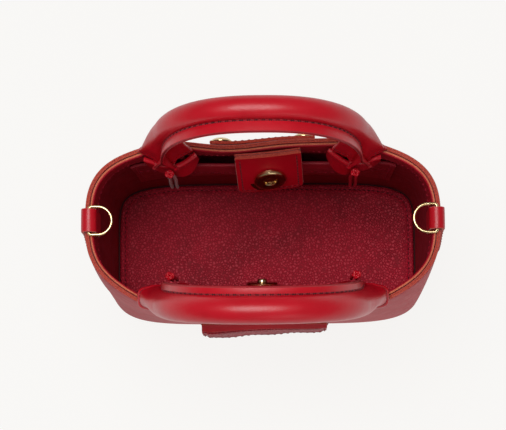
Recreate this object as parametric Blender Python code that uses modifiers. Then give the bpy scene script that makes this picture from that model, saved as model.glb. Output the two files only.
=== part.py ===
"""Small leather bucket bag with two rolled handles, built from its separate pieces.

Frame: the origin is on the floor under the middle of the bag, +X to the wearer's right,
+Y to the back, +Z up. Every size is in metres.
"""
import math

import bmesh
import bpy
from mathutils import Vector

# Driving dimensions of the body
RIM_HEIGHT = 0.160
RIM_HALF_WIDTH = 0.1012
RIM_HALF_DEPTH = 0.0500
RIM_SQUARENESS = 2.9
BASE_HALF_WIDTH = 0.1000
BASE_HALF_DEPTH = 0.0475
BASE_SQUARENESS = 5.5
RIM_BULGE = 0.0020
RIM_BULGE_X = 0.056
RIM_BULGE_SPREAD = 0.017
RIM_DIP = 0.0025
RIM_DIP_SPREAD = 0.026
END_SET_BACK = 0.0025
WALL_LEVELS = (0.0029, 0.012, 0.036, 0.062, 0.088, 0.112, 0.134, RIM_HEIGHT)
WALL_COLUMNS = 26
DRAWING_STEPS = 720

# Leather thicknesses and the clearance between touching pieces
GAP = 0.0003
SEAM_HALF_GAP = 0.0002
PANEL = 0.0024
FACING = 0.0020
LINING = 0.0010
BOTTOM = 0.0026
BOARD = 0.0015
INSERT = 0.0034
STRAP = 0.0018

# Inside and outside pockets
SLIP_HALF_WIDTH = 0.078
SLIP_BOTTOM = 0.052
SLIP_TOP = 0.128
SLIP_DEPTH = 0.0080
POUCH_HALF_WIDTH = 0.038
POUCH_BOTTOM = 0.050
POUCH_TOP = 0.117
POUCH_DEPTH = 0.0062
FLAP_HINGE_Z = 0.1235
FLAP_END_Z = 0.092
FLAP_HINGE_STAND_OFF = 0.0026

# Handles
HANDLE_RADIUS = 0.0073
HANDLE_WALL = 0.0016
HANDLE_HALF_SPAN = 0.0552
HANDLE_ROOT_Y = 0.0445
HANDLE_ROOT_Z = 0.1665
HANDLE_RISE = 0.0705
HANDLE_LEAN = 0.0098
HANDLE_SQUARENESS = 2.25
HANDLE_SEGMENTS = 20
BELL_HALF_WIDTH = 0.0155
BELL_HALF_DEPTH = 0.0066
BELL_LENGTH = 0.026
FLANGE = 0.0050

# Handle fixings
FIXING_X = 0.0530
ANCHOR_HALF_WIDTH = 0.0074
ANCHOR_BOTTOM = 0.1365
ANCHOR_TOP = 0.1585
COLLAR_HALF_WIDTH = 0.0155
COLLAR_VERTEX_Y = 0.0350
COLLAR_TOP = 0.1595
COLLAR_BOTTOM = 0.1410
KNOT_SIZE = (0.0042, 0.0032, 0.0036)
KNOT_Z = 0.1585
LACE_RADIUS = 0.0010
LACE_DROP = 0.0420
LACE_SPREAD = 0.0020
LACE_DRIFT = 0.0050

# Rings, their tabs, closure and rear trim
RING_WIRE = 0.00095
RING_HALF_WIDTH = 0.0080
RING_ARM = 0.0050
BAR_Z = RIM_HEIGHT + GAP + RING_WIRE
TAB_HALF_WIDTH = 0.0062
TAB_FOOT_HALF_WIDTH = 0.0140
TAB_OUTER_BOTTOM = 0.094
TAB_INNER_BOTTOM = 0.140
TAB_STRAIGHT_TOP = 0.150
TAB_SHOULDER_DROP = 0.026
TAB_END_RADIUS = 0.0145
CLOSURE_HINGE_Z = 0.1585
CLOSURE_HALF_WIDTH = 0.0188
CLOSURE_LENGTH = 0.0345
CLOSURE_FACE = 0.0016
CLOSURE_LINER = 0.0010
CLOSURE_SPACE = 0.0012
CLOSURE_CORNER = 0.0040
WASHER_RADIUS = 0.0075
WASHER_HALF_THICKNESS = 0.0003
SNAP_RADIUS = 0.0094
SNAP_AT = 0.0235
BACK_CLOSURE_TILT = math.radians(32)
FRONT_CLOSURE_TILT = math.radians(9)
BAND_HALF_WIDTH = 0.033
BAND_LOW = 0.136
BAND_HIGH = 0.154
STUD_X = 0.0240
STUD_RADIUS = 0.0062

SMOOTH_RED = ((0.46, 0.012, 0.030), 0.42, 0.0)
PEBBLED_RED = ((0.32, 0.010, 0.024), 0.50, 0.0)
LINING_RED = ((0.13, 0.006, 0.016), 0.70, 0.0)
RAW_CORE = ((0.50, 0.42, 0.32), 0.85, 0.0)
BOARD_GREY = ((0.12, 0.11, 0.10), 0.80, 0.0)
LIGHT_BRASS = ((0.86, 0.68, 0.36), 0.18, 1.0)

SIDES = {"front": -1, "back": 1}
HANDS = {"left": -1, "right": 1}


def mix(low, high, share):
    return low + (high - low) * share


def smooth(share):
    share = min(max(share, 0.0), 1.0)
    return share * share * (3 - 2 * share)


def signed_power(value, power):
    return math.copysign(abs(value) ** power, value)


def evenly_spaced(points, segments):
    """Points at equal distances along a finely drawn line."""
    travelled = [0.0]
    for start, end in zip(points, points[1:]):
        travelled.append(travelled[-1] + (end - start).length)
    spaced = []
    index = 0
    for step in range(segments + 1):
        wanted = travelled[-1] * step / segments
        while index < len(points) - 2 and travelled[index + 1] < wanted:
            index += 1
        share = (wanted - travelled[index]) / (travelled[index + 1] - travelled[index])
        spaced.append(points[index].lerp(points[index + 1], min(share, 1.0)))
    return spaced


# ---------------------------------------------------------------- outline of the body

def rim_wave(x):
    """The rim swells where the handles are fixed and dips between them."""
    swell = RIM_BULGE * math.exp(-((abs(x) - RIM_BULGE_X) / RIM_BULGE_SPREAD) ** 2)
    dip = RIM_DIP * math.exp(-(x / RIM_DIP_SPREAD) ** 2)
    return swell - dip


def set_back(point):
    """The bag's two ends sit a little behind its middle, more so towards the rim."""
    share = smooth((abs(point[0]) / RIM_HALF_WIDTH - 0.6) / 0.4)
    rise = point[2] / RIM_HEIGHT
    return (point[0], point[1] + END_SET_BACK * share * rise ** 2, point[2])


def half_outline(z):
    """Points and outward normals along the back half of the wall at one height."""
    rise = z / RIM_HEIGHT
    width = mix(BASE_HALF_WIDTH, RIM_HALF_WIDTH, rise)
    depth = mix(BASE_HALF_DEPTH, RIM_HALF_DEPTH, rise)
    power = 2 / mix(BASE_SQUARENESS, RIM_SQUARENESS, rise)
    fine = []
    for step in range(DRAWING_STEPS + 1):
        angle = math.pi * (1 - step / DRAWING_STEPS)
        x = width * signed_power(math.cos(angle), power)
        y = depth * signed_power(math.sin(angle), power) + rim_wave(x) * rise ** 4
        fine.append(Vector((x, max(y, SEAM_HALF_GAP))))
    points = evenly_spaced(fine, WALL_COLUMNS)
    normals = [Vector((-1, 0))]
    for before, after in zip(points, points[2:]):
        run = (after - before).normalized()
        normals.append(Vector((-run.y, run.x)))
    normals.append(Vector((1, 0)))
    return points, normals


OUTLINES = [half_outline(level) for level in WALL_LEVELS]


def wall_line(z, inset):
    """The back half of the wall at a height, moved inwards by the inset."""
    index = 0
    while index < len(WALL_LEVELS) - 2 and WALL_LEVELS[index + 1] < z:
        index += 1
    share = (z - WALL_LEVELS[index]) / (WALL_LEVELS[index + 1] - WALL_LEVELS[index])
    low_points, low_normals = OUTLINES[index]
    high_points, high_normals = OUTLINES[index + 1]
    line = []
    for column in range(WALL_COLUMNS + 1):
        point = low_points[column].lerp(high_points[column], share)
        normal = low_normals[column].lerp(high_normals[column], share).normalized()
        line.append(point - normal * inset)
    return line


def wall_y(x, z, inset=0.0):
    """Distance of the wall from the bag's middle plane at a place along its width."""
    line = wall_line(z, inset)
    for start, end in zip(line, line[1:]):
        if start.x <= x <= end.x:
            return mix(start.y, end.y, (x - start.x) / (end.x - start.x))
    return 0.0


def wall_x(y, z, inset=0.0):
    """Distance of the wall's end from the bag's centre at a place along its depth."""
    line = wall_line(z, inset)
    for start, end in zip(line, line[1:]):
        if end.y <= abs(y) <= start.y:
            return mix(start.x, end.x, (abs(y) - start.y) / (end.y - start.y))
    return line[-1].x


def body_loop(z, inset):
    """The whole outline of the body at a height, as a closed loop."""
    back = wall_line(z, inset)
    front = [Vector((point.x, -point.y)) for point in reversed(back)]
    return back + front


def levels_between(low, high):
    inner = [level for level in WALL_LEVELS if low + 0.001 < level < high - 0.001]
    return [low] + inner + [high]


# ---------------------------------------------------------------- ways of making a piece

def finish(piece, look):
    """Give a piece its own material and put it in the bag's collection."""
    colour, roughness, metallic = look
    material = bpy.data.materials.new(piece.name + "_material")
    material.use_nodes = True
    shader = material.node_tree.nodes["Principled BSDF"]
    shader.inputs["Base Color"].default_value = (*colour, 1.0)
    shader.inputs["Roughness"].default_value = roughness
    shader.inputs["Metallic"].default_value = metallic
    material.diffuse_color = (*colour, 1.0)
    piece.data.materials.clear()
    piece.data.materials.append(material)
    bpy.data.collections["bucket_bag"].objects.link(piece)
    return piece


def piece_from(name, points, faces, look, closed):
    """An object from points and faces; a closed one gets its faces turned outwards."""
    mesh = bpy.data.meshes.new(name)
    mesh.from_pydata([set_back(point) for point in points], [], faces)
    if closed:
        shape = bmesh.new()
        shape.from_mesh(mesh)
        bmesh.ops.recalc_face_normals(shape, faces=shape.faces)
        shape.to_mesh(mesh)
        shape.free()
    mesh.shade_smooth()
    mesh.set_sharp_from_angle(angle=math.radians(40))
    return finish(bpy.data.objects.new(name, mesh), look)


def sheet(name, rows, thickness, look, flip=False):
    """A curved sheet of leather: an open surface through rows of points, given a thickness.

    The thickness grows against the surface's normal, and flip turns that normal over.
    """
    columns = len(rows[0])
    points = [point for row in rows for point in row]
    faces = []
    for row in range(len(rows) - 1):
        for column in range(columns - 1):
            corner = row * columns + column
            face = (corner, corner + 1, corner + columns + 1, corner + columns)
            faces.append(face[::-1] if flip else face)
    piece = piece_from(name, points, faces, look, closed=False)
    solid = piece.modifiers.new("thickness", "SOLIDIFY")
    solid.thickness = thickness
    solid.offset = -1
    solid.use_even_offset = True
    return piece


def ring_faces(rings, count, start=0):
    """Quads between neighbouring rings of equal point count."""
    faces = []
    for ring in range(rings - 1):
        for index in range(count):
            after = (index + 1) % count
            low = start + ring * count
            high = low + count
            faces.append((low + index, low + after, high + after, high + index))
    return faces


def solid_loft(name, rings, look):
    """A solid through a row of closed sections, with flat ends."""
    count = len(rings[0])
    points = [point for ring in rings for point in ring]
    faces = ring_faces(len(rings), count)
    faces.append(tuple(range(count)))
    faces.append(tuple(range(len(points) - count, len(points))))
    return piece_from(name, points, faces, look, closed=True)


def sleeve_loft(name, outer_rings, inner_rings, look):
    """A sleeve between outer and inner sections, open at both ends."""
    count = len(outer_rings[0])
    inside = len(outer_rings) * count
    points = [point for ring in outer_rings + inner_rings for point in ring]
    faces = ring_faces(len(outer_rings), count)
    faces += ring_faces(len(inner_rings), count, inside)
    for first in (0, inside - count):
        for index in range(count):
            after = (index + 1) % count
            faces.append((first + index, first + after, inside + first + after, inside + first + index))
    return piece_from(name, points, faces, look, closed=True)


def curve_piece(name, points, look, cyclic=False):
    """A curve object through points, without thickness yet."""
    curve = bpy.data.curves.new(name, "CURVE")
    curve.dimensions = "3D"
    spline = curve.splines.new("POLY")
    spline.points.add(len(points) - 1)
    for target, point in zip(spline.points, points):
        target.co = (*point, 1.0)
    spline.use_cyclic_u = cyclic
    return finish(bpy.data.objects.new(name, curve), look)


def round_wire(name, points, radius, look, cyclic=False):
    piece = curve_piece(name, points, look, cyclic)
    piece.data.bevel_depth = radius
    piece.data.bevel_resolution = 2
    piece.data.use_fill_caps = not cyclic
    return piece


def plate(name, outline, low, thickness, look, edge=0.0):
    """A flat plate of a closed outline; edge is the radius of its rounded rim."""
    piece = curve_piece(name, [(point.x, point.y, 0.0) for point in outline], look, cyclic=True)
    piece.data.dimensions = "2D"
    piece.data.fill_mode = "BOTH"
    piece.data.extrude = thickness / 2 - edge
    piece.data.bevel_depth = edge
    piece.data.bevel_resolution = 1
    piece.location.z = low + thickness / 2
    return piece


def turned(name, profile, look, steps=24):
    """A turned piece: the profile runs from the axis over its top, down its outer side and back."""
    mesh = bpy.data.meshes.new(name)
    edges = [(index, index + 1) for index in range(len(profile) - 1)]
    mesh.from_pydata([(radius, 0.0, height) for radius, height in profile], edges, [])
    piece = finish(bpy.data.objects.new(name, mesh), look)
    screw = piece.modifiers.new("turn", "SCREW")
    screw.steps = steps
    screw.render_steps = steps
    screw.use_merge_vertices = True
    screw.merge_threshold = 0.00001
    screw.use_smooth_shade = True
    return piece


# ---------------------------------------------------------------- body, lining and base

def wall_sheet(name, side, low, high, inset, thickness, look):
    """Half of the body between two heights, following its outline."""
    rows = []
    for level in levels_between(low, high):
        line = wall_line(level, inset)
        rows.append([Vector((point.x, side * point.y, level)) for point in line])
    return sheet(name, rows, thickness, look, flip=side > 0)


def build_walls():
    facing_low = WALL_LEVELS[-2] + GAP
    for place, side in SIDES.items():
        wall_sheet(place + "_panel", side, WALL_LEVELS[0], RIM_HEIGHT, 0.0, PANEL, SMOOTH_RED)
        wall_sheet(place + "_facing", side, facing_low, RIM_HEIGHT, PANEL + GAP, FACING, SMOOTH_RED)
        lining_low = BOTTOM + GAP + BOARD + GAP
        lining_high = WALL_LEVELS[-2] - GAP
        wall_sheet(place + "_lining", side, lining_low, lining_high, PANEL + GAP, LINING, LINING_RED)


def build_base():
    floor = WALL_LEVELS[0]
    plate("bottom_panel", body_loop(floor, 0.0), 0.0, BOTTOM, PEBBLED_RED)
    board_low = BOTTOM + GAP
    plate("base_board", body_loop(floor, PANEL + 2 * GAP), board_low, BOARD, BOARD_GREY)
    insert_low = board_low + BOARD + GAP
    edge = 0.0012
    insert_inset = PANEL + LINING + 4 * GAP + edge
    plate("base_insert", body_loop(floor, insert_inset), insert_low, INSERT, PEBBLED_RED, edge)


def build_slip_pocket():
    """Inside pocket on the back wall, sewn on three sides and standing open at the top."""
    lining_face = PANEL + GAP + LINING + GAP
    rows = []
    for step in range(6):
        share = step / 5
        z = mix(SLIP_BOTTOM, SLIP_TOP, share)
        row = []
        for column in range(15):
            across = -1 + 2 * column / 14
            x = SLIP_HALF_WIDTH * across
            belly = SLIP_DEPTH * smooth(2.6 * (1 - abs(across))) * smooth(0.15 + 0.85 * share)
            opened = belly if step else 0.0
            row.append(Vector((x, wall_y(x, z, lining_face) - opened, z)))
        rows.append(row)
    sheet("slip_pocket", rows, STRAP, LINING_RED).modifiers["thickness"].offset = 1


def pouch_offset(x, z):
    """How far the outside pouch stands off the front wall."""
    across = min(abs(x) / POUCH_HALF_WIDTH, 1.0)
    rise = min((z - POUCH_BOTTOM) / (POUCH_TOP - POUCH_BOTTOM), 1.0)
    return GAP + POUCH_DEPTH * smooth(3.2 * (1 - across)) * smooth(3.0 * rise)


def build_front_pouch():
    """Small pouch on the front and the flap that closes it."""
    rows = []
    for step in range(7):
        z = mix(POUCH_BOTTOM, POUCH_TOP, step / 6)
        row = []
        for column in range(13):
            x = POUCH_HALF_WIDTH * (-1 + column / 6)
            row.append(Vector((x, -wall_y(x, z) - pouch_offset(x, z), z)))
        rows.append(row)
    sheet("front_pocket", rows, STRAP, SMOOTH_RED).modifiers["thickness"].offset = 1

    hinge = bpy.data.objects.new("flap_hinge", None)
    hinge.location = (0.0, -wall_y(0.0, FLAP_HINGE_Z) - FLAP_HINGE_STAND_OFF, FLAP_HINGE_Z)
    hinge.hide_render = True
    bpy.data.collections["bucket_bag"].objects.link(hinge)
    rows = []
    for step in range(8):
        share = step / 7
        z = mix(FLAP_HINGE_Z, FLAP_END_Z, share)
        cover = smooth((FLAP_HINGE_Z - z) / (FLAP_HINGE_Z - POUCH_TOP - 0.0025))
        row = []
        for column in range(13):
            across = -1 + column / 6
            x = (POUCH_HALF_WIDTH + 0.0015) * across
            rounding = 0.012 * (abs(across) ** 6) * share
            over = pouch_offset(x, z) + STRAP + 2 * GAP
            point = Vector((x, -wall_y(x, z) - mix(3 * GAP, over, cover), z + rounding))
            row.append(point - hinge.location)
        rows.append(row)
    flap = sheet("front_pocket_flap", rows, STRAP, PEBBLED_RED, flip=True)
    flap.modifiers["thickness"].offset = 1
    flap.parent = hinge


def build_rear_band():
    """Band across the back under the rim, held by two stud caps."""
    rows = []
    for z in (BAND_LOW, (BAND_LOW + BAND_HIGH) / 2, BAND_HIGH):
        row = []
        for column in range(13):
            x = BAND_HALF_WIDTH * (-1 + column / 6)
            row.append(Vector((x, wall_y(x, z, -2 * GAP), z)))
        rows.append(row)
    sheet("rear_band", rows, STRAP, SMOOTH_RED, flip=True).modifiers["thickness"].offset = 1
    middle = (BAND_LOW + BAND_HIGH) / 2
    dome = [(0.0, 0.0026), (0.0028, 0.0024), (0.0050, 0.0016), (STUD_RADIUS, 0.0004)]
    dome += [(STUD_RADIUS, 0.0), (0.0, 0.0)]
    for hand, turn in HANDS.items():
        stud = turned("rear_stud_" + hand, dome, LIGHT_BRASS, steps=20)
        x = turn * STUD_X
        stud.location = (x, wall_y(x, middle, -4 * GAP) + STRAP, middle)
        stud.rotation_euler.x = math.radians(-90)


# ---------------------------------------------------------------- handles and their fixings

def handle_line(side):
    """Centre line of a handle, an arch that leans outwards, from its left end to its right."""
    fine = []
    for step in range(DRAWING_STEPS + 1):
        angle = math.pi * (1 - step / DRAWING_STEPS)
        x = HANDLE_HALF_SPAN * signed_power(math.cos(angle), 2 / HANDLE_SQUARENESS)
        share = abs(math.sin(angle)) ** (2 / HANDLE_SQUARENESS)
        y = side * (HANDLE_ROOT_Y + HANDLE_LEAN * share)
        fine.append(Vector((x, y, HANDLE_ROOT_Z + HANDLE_RISE * share)))
    return evenly_spaced(fine, HANDLE_SEGMENTS)


def handle_frames(side):
    """For each point of the centre line: the point, the two directions across it, and the flare."""
    line = handle_line(side)
    inward = Vector((0.0, -side * HANDLE_RISE, HANDLE_LEAN)).normalized()
    spacing = (line[1] - line[0]).length
    frames = []
    for index, point in enumerate(line):
        before = line[max(index - 1, 0)]
        after = line[min(index + 1, len(line) - 1)]
        across = (after - before).normalized().cross(inward).normalized()
        if index in (0, len(line) - 1):
            across = Vector((math.copysign(1.0, across.x), 0.0, 0.0))
        to_end = spacing * min(index, len(line) - 1 - index)
        frames.append((point, inward, across, smooth(1 - to_end / BELL_LENGTH), to_end))
    return frames


def section(frame, sides, shrink=0.0, flange=0.0, widest=HANDLE_RADIUS):
    """Oval section at one frame; the flange stands out towards the bag's middle."""
    point, inward, across, flare, to_end = frame
    half_depth = mix(HANDLE_RADIUS, BELL_HALF_DEPTH, flare) - shrink
    half_width = mix(HANDLE_RADIUS, widest, flare) - shrink
    ring = []
    for index in range(sides):
        angle = 2 * math.pi * (index + 0.5) / sides
        reach = half_depth * math.cos(angle)
        if index in (0, sides - 1):
            reach += flange * smooth((to_end - 0.012) / 0.012)
        ring.append(point + inward * reach + across * half_width * math.sin(angle))
    return ring


def build_handles():
    for place, side in SIDES.items():
        frames = handle_frames(side)
        outer = [section(frame, 12, flange=FLANGE, widest=BELL_HALF_WIDTH) for frame in frames]
        inner = [section(frame, 12, HANDLE_WALL) for frame in frames]
        sleeve_loft("handle_cover_" + place, outer, inner, SMOOTH_RED)
        core = [section(frame, 10, HANDLE_WALL + 3 * GAP) for frame in frames]
        solid_loft("handle_core_" + place, core, RAW_CORE)


def build_anchor(name, turn, side):
    """Flat tongue that roots one handle end on the inside of the wall."""
    face = PANEL + FACING + 3 * GAP
    rows = []
    for z in (ANCHOR_BOTTOM, ANCHOR_TOP):
        row = []
        for column in range(5):
            x = turn * FIXING_X + ANCHOR_HALF_WIDTH * (-1 + column / 2)
            row.append(Vector((x, side * wall_y(x, z, face), z)))
        rows.append(row)
    sheet(name, rows, 0.0024, SMOOTH_RED, flip=side > 0)


def build_collar(name, turn, side):
    """V-shaped leather band standing off the wall around one handle end."""
    face = PANEL + FACING + 3 * GAP
    steps = 5
    plan = []
    for step in range(-steps, steps + 1):
        share = abs(step) / steps
        x = turn * FIXING_X + step / steps * COLLAR_HALF_WIDTH
        root = wall_y(x, COLLAR_TOP, face)
        bow = 0.0012 * math.sin(math.pi * share)
        plan.append((x, side * (mix(COLLAR_VERTEX_Y, root, share ** 1.12) + bow), share))
    rows = []
    for level in (0.0, 0.5, 1.0):
        row = []
        for x, y, share in plan:
            low = COLLAR_BOTTOM + 0.005 * share ** 2
            row.append(Vector((x, y, mix(low, COLLAR_TOP, level))))
        rows.append(row)
    sheet(name, rows, STRAP, SMOOTH_RED, flip=side > 0)


def build_lace(label, turn, side):
    """Knot at the collar's point and the two thong tails that hang from it."""
    width, depth, height = KNOT_SIZE
    clear = 1.35 * STRAP + 2 * GAP + depth
    centre = Vector((turn * FIXING_X, side * (COLLAR_VERTEX_Y - clear), KNOT_Z))
    shape = bmesh.new()
    bmesh.ops.create_uvsphere(shape, u_segments=10, v_segments=7, radius=1.0)
    for vertex in shape.verts:
        vertex.co = Vector((vertex.co.x * width, vertex.co.y * depth, vertex.co.z * height))
    mesh = bpy.data.meshes.new("lace_knot_" + label)
    shape.to_mesh(mesh)
    shape.free()
    mesh.shade_smooth()
    knot = finish(bpy.data.objects.new("lace_knot_" + label, mesh), SMOOTH_RED)
    knot.location = centre
    top = centre.z - height - GAP
    for strand, apart in (("a", -1), ("b", 1)):
        points = []
        for step in range(8):
            share = step / 7
            x = centre.x + apart * (1.4 * LACE_RADIUS + LACE_SPREAD * math.sin(0.5 * math.pi * share))
            x -= turn * LACE_DRIFT * share ** 1.5
            y = centre.y + side * LACE_SPREAD * share
            points.append((x, y, top - LACE_DROP * share))
        round_wire("lace_tail_" + label + "_" + strand, points, LACE_RADIUS, SMOOTH_RED)


def build_handle_fixings():
    for place, side in SIDES.items():
        for hand, turn in HANDS.items():
            label = place + "_" + hand
            build_anchor("handle_anchor_" + label, turn, side)
            build_collar("handle_collar_" + label, turn, side)
            build_lace(label, turn, side)


# ---------------------------------------------------------------- rings and their tabs

def bar_x():
    """The ring's bar lies over the middle of the rim's thickness at the bag's end."""
    return RIM_HALF_WIDTH - (PANEL + GAP + FACING) / 2


def build_ring(hand, turn):
    hinge = bpy.data.objects.new("ring_hinge_" + hand, None)
    hinge.location = set_back((turn * bar_x(), 0.0, BAR_Z))
    hinge.hide_render = True
    bpy.data.collections["bucket_bag"].objects.link(hinge)
    points = [(0.0, -RING_HALF_WIDTH, 0.0), (0.0, 0.0, 0.0)]
    for step in range(11):
        angle = math.pi * (0.5 - step / 10)
        reach = RING_ARM + RING_HALF_WIDTH * math.cos(angle)
        points.append((-turn * reach, RING_HALF_WIDTH * math.sin(angle), 0.0))
    points.insert(2, (0.0, RING_HALF_WIDTH, 0.0))
    ring = round_wire("d_ring_" + hand, points, RING_WIRE, LIGHT_BRASS, cyclic=True)
    ring.parent = hinge


def build_ring_tab(hand, turn):
    """Leather tab folded over the rim and the ring's bar, with a broad foot on the outside."""
    half_span = (PANEL + GAP + FACING) / 2 + GAP
    path = [(-half_span, TAB_INNER_BOTTOM), (-half_span, TAB_STRAIGHT_TOP)]
    for step in range(9):
        angle = math.pi * (1 - step / 8)
        path.append((half_span * math.cos(angle), RIM_HEIGHT + 0.0008 + half_span * math.sin(angle)))
    for step in range(8):
        share = (step / 7) ** 0.75
        path.append((half_span, mix(TAB_STRAIGHT_TOP, TAB_OUTER_BOTTOM, share)))
    rows = []
    for across, z in path:
        half_width = TAB_HALF_WIDTH
        if across == half_span:
            foot = smooth((TAB_STRAIGHT_TOP - z) / TAB_SHOULDER_DROP)
            below = max(0.0, (TAB_OUTER_BOTTOM + 0.0140 - z) / TAB_END_RADIUS)
            round_end = math.sqrt(1 - below ** 2)
            half_width = mix(TAB_HALF_WIDTH, TAB_FOOT_HALF_WIDTH, foot) * round_end
        row = []
        for column in range(7):
            y = half_width * (-1 + column / 3)
            x = wall_x(y, min(z, RIM_HEIGHT)) - (PANEL + GAP + FACING) / 2 + across
            row.append(Vector((turn * x, y, z)))
        rows.append(row)
    sheet("ring_tab_" + hand, rows, STRAP, SMOOTH_RED, flip=turn > 0).modifiers["thickness"].offset = 1


# ---------------------------------------------------------------- magnetic closure

def snap_socket_profile():
    return [(0.0, 0.0009), (0.0034, 0.0009), (0.0036, 0.0024), (0.0084, 0.0024),
            (SNAP_RADIUS, 0.0014), (SNAP_RADIUS, 0.0), (0.0, 0.0)]


def snap_stud_profile():
    return [(0.0, 0.0036), (0.0024, 0.0034), (0.0028, 0.0028), (0.0029, 0.0015), (0.0082, 0.0015),
            (SNAP_RADIUS - 0.0004, 0.0009), (SNAP_RADIUS - 0.0004, 0.0), (0.0, 0.0)]


def closure_leaf(name, hinge, low, thickness, look):
    """One leather layer of a closure tab; it hangs down from the hinge, low is its near face."""
    outline = [(-CLOSURE_HALF_WIDTH, -0.0012), (CLOSURE_HALF_WIDTH, -0.0012)]
    for turn, start in ((1, 0), (-1, 1)):
        for step in range(4):
            angle = math.radians(90) * (start + turn * step / 3)
            x = turn * (CLOSURE_HALF_WIDTH - CLOSURE_CORNER * (1 - math.cos(angle)))
            outline.append((x, -CLOSURE_LENGTH + CLOSURE_CORNER * (1 - math.sin(angle))))
    leaf = plate(name, [Vector(point) for point in outline], low, thickness, look)
    leaf.parent = hinge
    return leaf


def build_closure(place, side, tilt, metal, profile):
    """A closure tab of two layers with half of the magnetic snap and its backing washer."""
    hinge = bpy.data.objects.new(place + "_closure_hinge", None)
    root = wall_y(0.0, CLOSURE_HINGE_Z, PANEL + FACING + 4 * GAP)
    stack = CLOSURE_FACE + CLOSURE_LINER + CLOSURE_SPACE
    hinge.location = (0.0, side * (root - stack / 2 - 0.0008), CLOSURE_HINGE_Z)
    facing = 0.0 if side > 0 else math.radians(180)
    hinge.rotation_euler = (math.radians(90) - tilt, 0.0, facing)
    hinge.hide_render = True
    bpy.data.collections["bucket_bag"].objects.link(hinge)
    closure_leaf(place + "_tab", hinge, stack / 2 - CLOSURE_FACE, CLOSURE_FACE, SMOOTH_RED)
    closure_leaf(place + "_tab_lining", hinge, -stack / 2, CLOSURE_LINER, LINING_RED)
    disc = [(0.0, WASHER_HALF_THICKNESS), (WASHER_RADIUS, WASHER_HALF_THICKNESS)]
    disc += [(WASHER_RADIUS, -WASHER_HALF_THICKNESS), (0.0, -WASHER_HALF_THICKNESS)]
    washer = turned(place + "_snap_backing", disc, LIGHT_BRASS, steps=20)
    washer.parent = hinge
    washer.location = (0.0, -SNAP_AT, -stack / 2 + CLOSURE_LINER + CLOSURE_SPACE / 2)
    snap = turned(place + metal, profile, LIGHT_BRASS)
    snap.parent = hinge
    snap.location = (0.0, -SNAP_AT, stack / 2 + GAP)


def build():
    for leftover in list(bpy.data.objects):
        bpy.data.objects.remove(leftover)
    collection = bpy.data.collections.new("bucket_bag")
    bpy.context.scene.collection.children.link(collection)
    build_walls()
    build_base()
    build_slip_pocket()
    build_front_pouch()
    build_rear_band()
    build_handles()
    build_handle_fixings()
    for hand, turn in HANDS.items():
        build_ring(hand, turn)
        build_ring_tab(hand, turn)
    build_closure("back", 1, BACK_CLOSURE_TILT, "_snap_socket", snap_socket_profile())
    build_closure("front", -1, FRONT_CLOSURE_TILT, "_snap_stud", snap_stud_profile())
    bpy.context.view_layer.update()


build()
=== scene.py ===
"""Looks of the small red leather bucket bag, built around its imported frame.

Every size is in metres, in the frame's own directions: +X to the right, +Y to the back, +Z up.
"""
import math

import bmesh
import bpy
import numpy as np
from mathutils import Matrix, Vector


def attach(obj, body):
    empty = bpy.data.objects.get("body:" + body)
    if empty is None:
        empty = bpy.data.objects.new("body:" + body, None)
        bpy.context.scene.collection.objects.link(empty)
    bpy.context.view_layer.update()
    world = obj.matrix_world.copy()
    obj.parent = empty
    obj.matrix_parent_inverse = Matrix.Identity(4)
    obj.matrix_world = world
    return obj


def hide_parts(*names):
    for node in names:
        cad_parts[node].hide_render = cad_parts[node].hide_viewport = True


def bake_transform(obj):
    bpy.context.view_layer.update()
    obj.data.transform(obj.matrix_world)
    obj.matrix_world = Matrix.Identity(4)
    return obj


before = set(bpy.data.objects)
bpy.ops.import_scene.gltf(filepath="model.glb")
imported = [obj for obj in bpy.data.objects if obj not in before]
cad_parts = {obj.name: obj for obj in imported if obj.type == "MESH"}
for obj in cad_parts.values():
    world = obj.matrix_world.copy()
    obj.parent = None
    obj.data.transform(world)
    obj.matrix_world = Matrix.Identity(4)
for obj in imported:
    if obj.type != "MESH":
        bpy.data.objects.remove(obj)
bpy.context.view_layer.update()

# Driving dimensions, the same as the part's
RIM_HEIGHT = 0.160
RIM_HALF_WIDTH = 0.1012
RIM_HALF_DEPTH = 0.0500
RIM_SQUARENESS = 2.9
BASE_HALF_WIDTH = 0.1000
BASE_HALF_DEPTH = 0.0475
BASE_SQUARENESS = 5.5
RIM_BULGE = 0.0020
RIM_BULGE_X = 0.056
RIM_BULGE_SPREAD = 0.017
RIM_DIP = 0.0025
RIM_DIP_SPREAD = 0.026
END_SET_BACK = 0.0025
WALL_FOOT = 0.0029
LINING_FOOT = 0.0047
FACING_FOOT = 0.1343
GAP = 0.0003
PANEL = 0.0024
FACING = 0.0020
LINING = 0.0010
STRAP = 0.0018
SLIP_HALF_WIDTH = 0.078
SLIP_BOTTOM = 0.052
SLIP_TOP = 0.128
SLIP_DEPTH = 0.0062
POUCH_HALF_WIDTH = 0.038
POUCH_BOTTOM = 0.050
POUCH_TOP = 0.117
POUCH_DEPTH = 0.0062
POUCH_FILLED = 0.62
FLAP_HALF_WIDTH = 0.0364
FLAP_FULL = 0.0340
FLAP_HINGE_Z = 0.1235
FLAP_END_Z = 0.092
HANDLE_RADIUS = 0.0073
HANDLE_WALL = 0.0016
HANDLE_HALF_SPAN = 0.0552
HANDLE_ROOT_Y = 0.0445
HANDLE_ROOT_Z = 0.1665
HANDLE_RISE = 0.0705
HANDLE_LEANS = {"front": 0.0098, "back": 0.0082}
HANDLE_SQUARENESS = 2.4
BELL_HALF_WIDTH = 0.0155
BELL_HALF_DEPTH = 0.0066
BELL_LENGTH = 0.026
FIXING_X = 0.0530
ANCHOR_HALF_WIDTH = 0.0074
ANCHOR_BOTTOM = 0.1365
ANCHOR_TOP = 0.1745
ANCHOR_THICKNESS = 0.0022
COLLAR_HALF_WIDTH = 0.0145
COLLAR_VERTEX_Y = 0.0350
COLLAR_TOP = 0.1595
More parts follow.
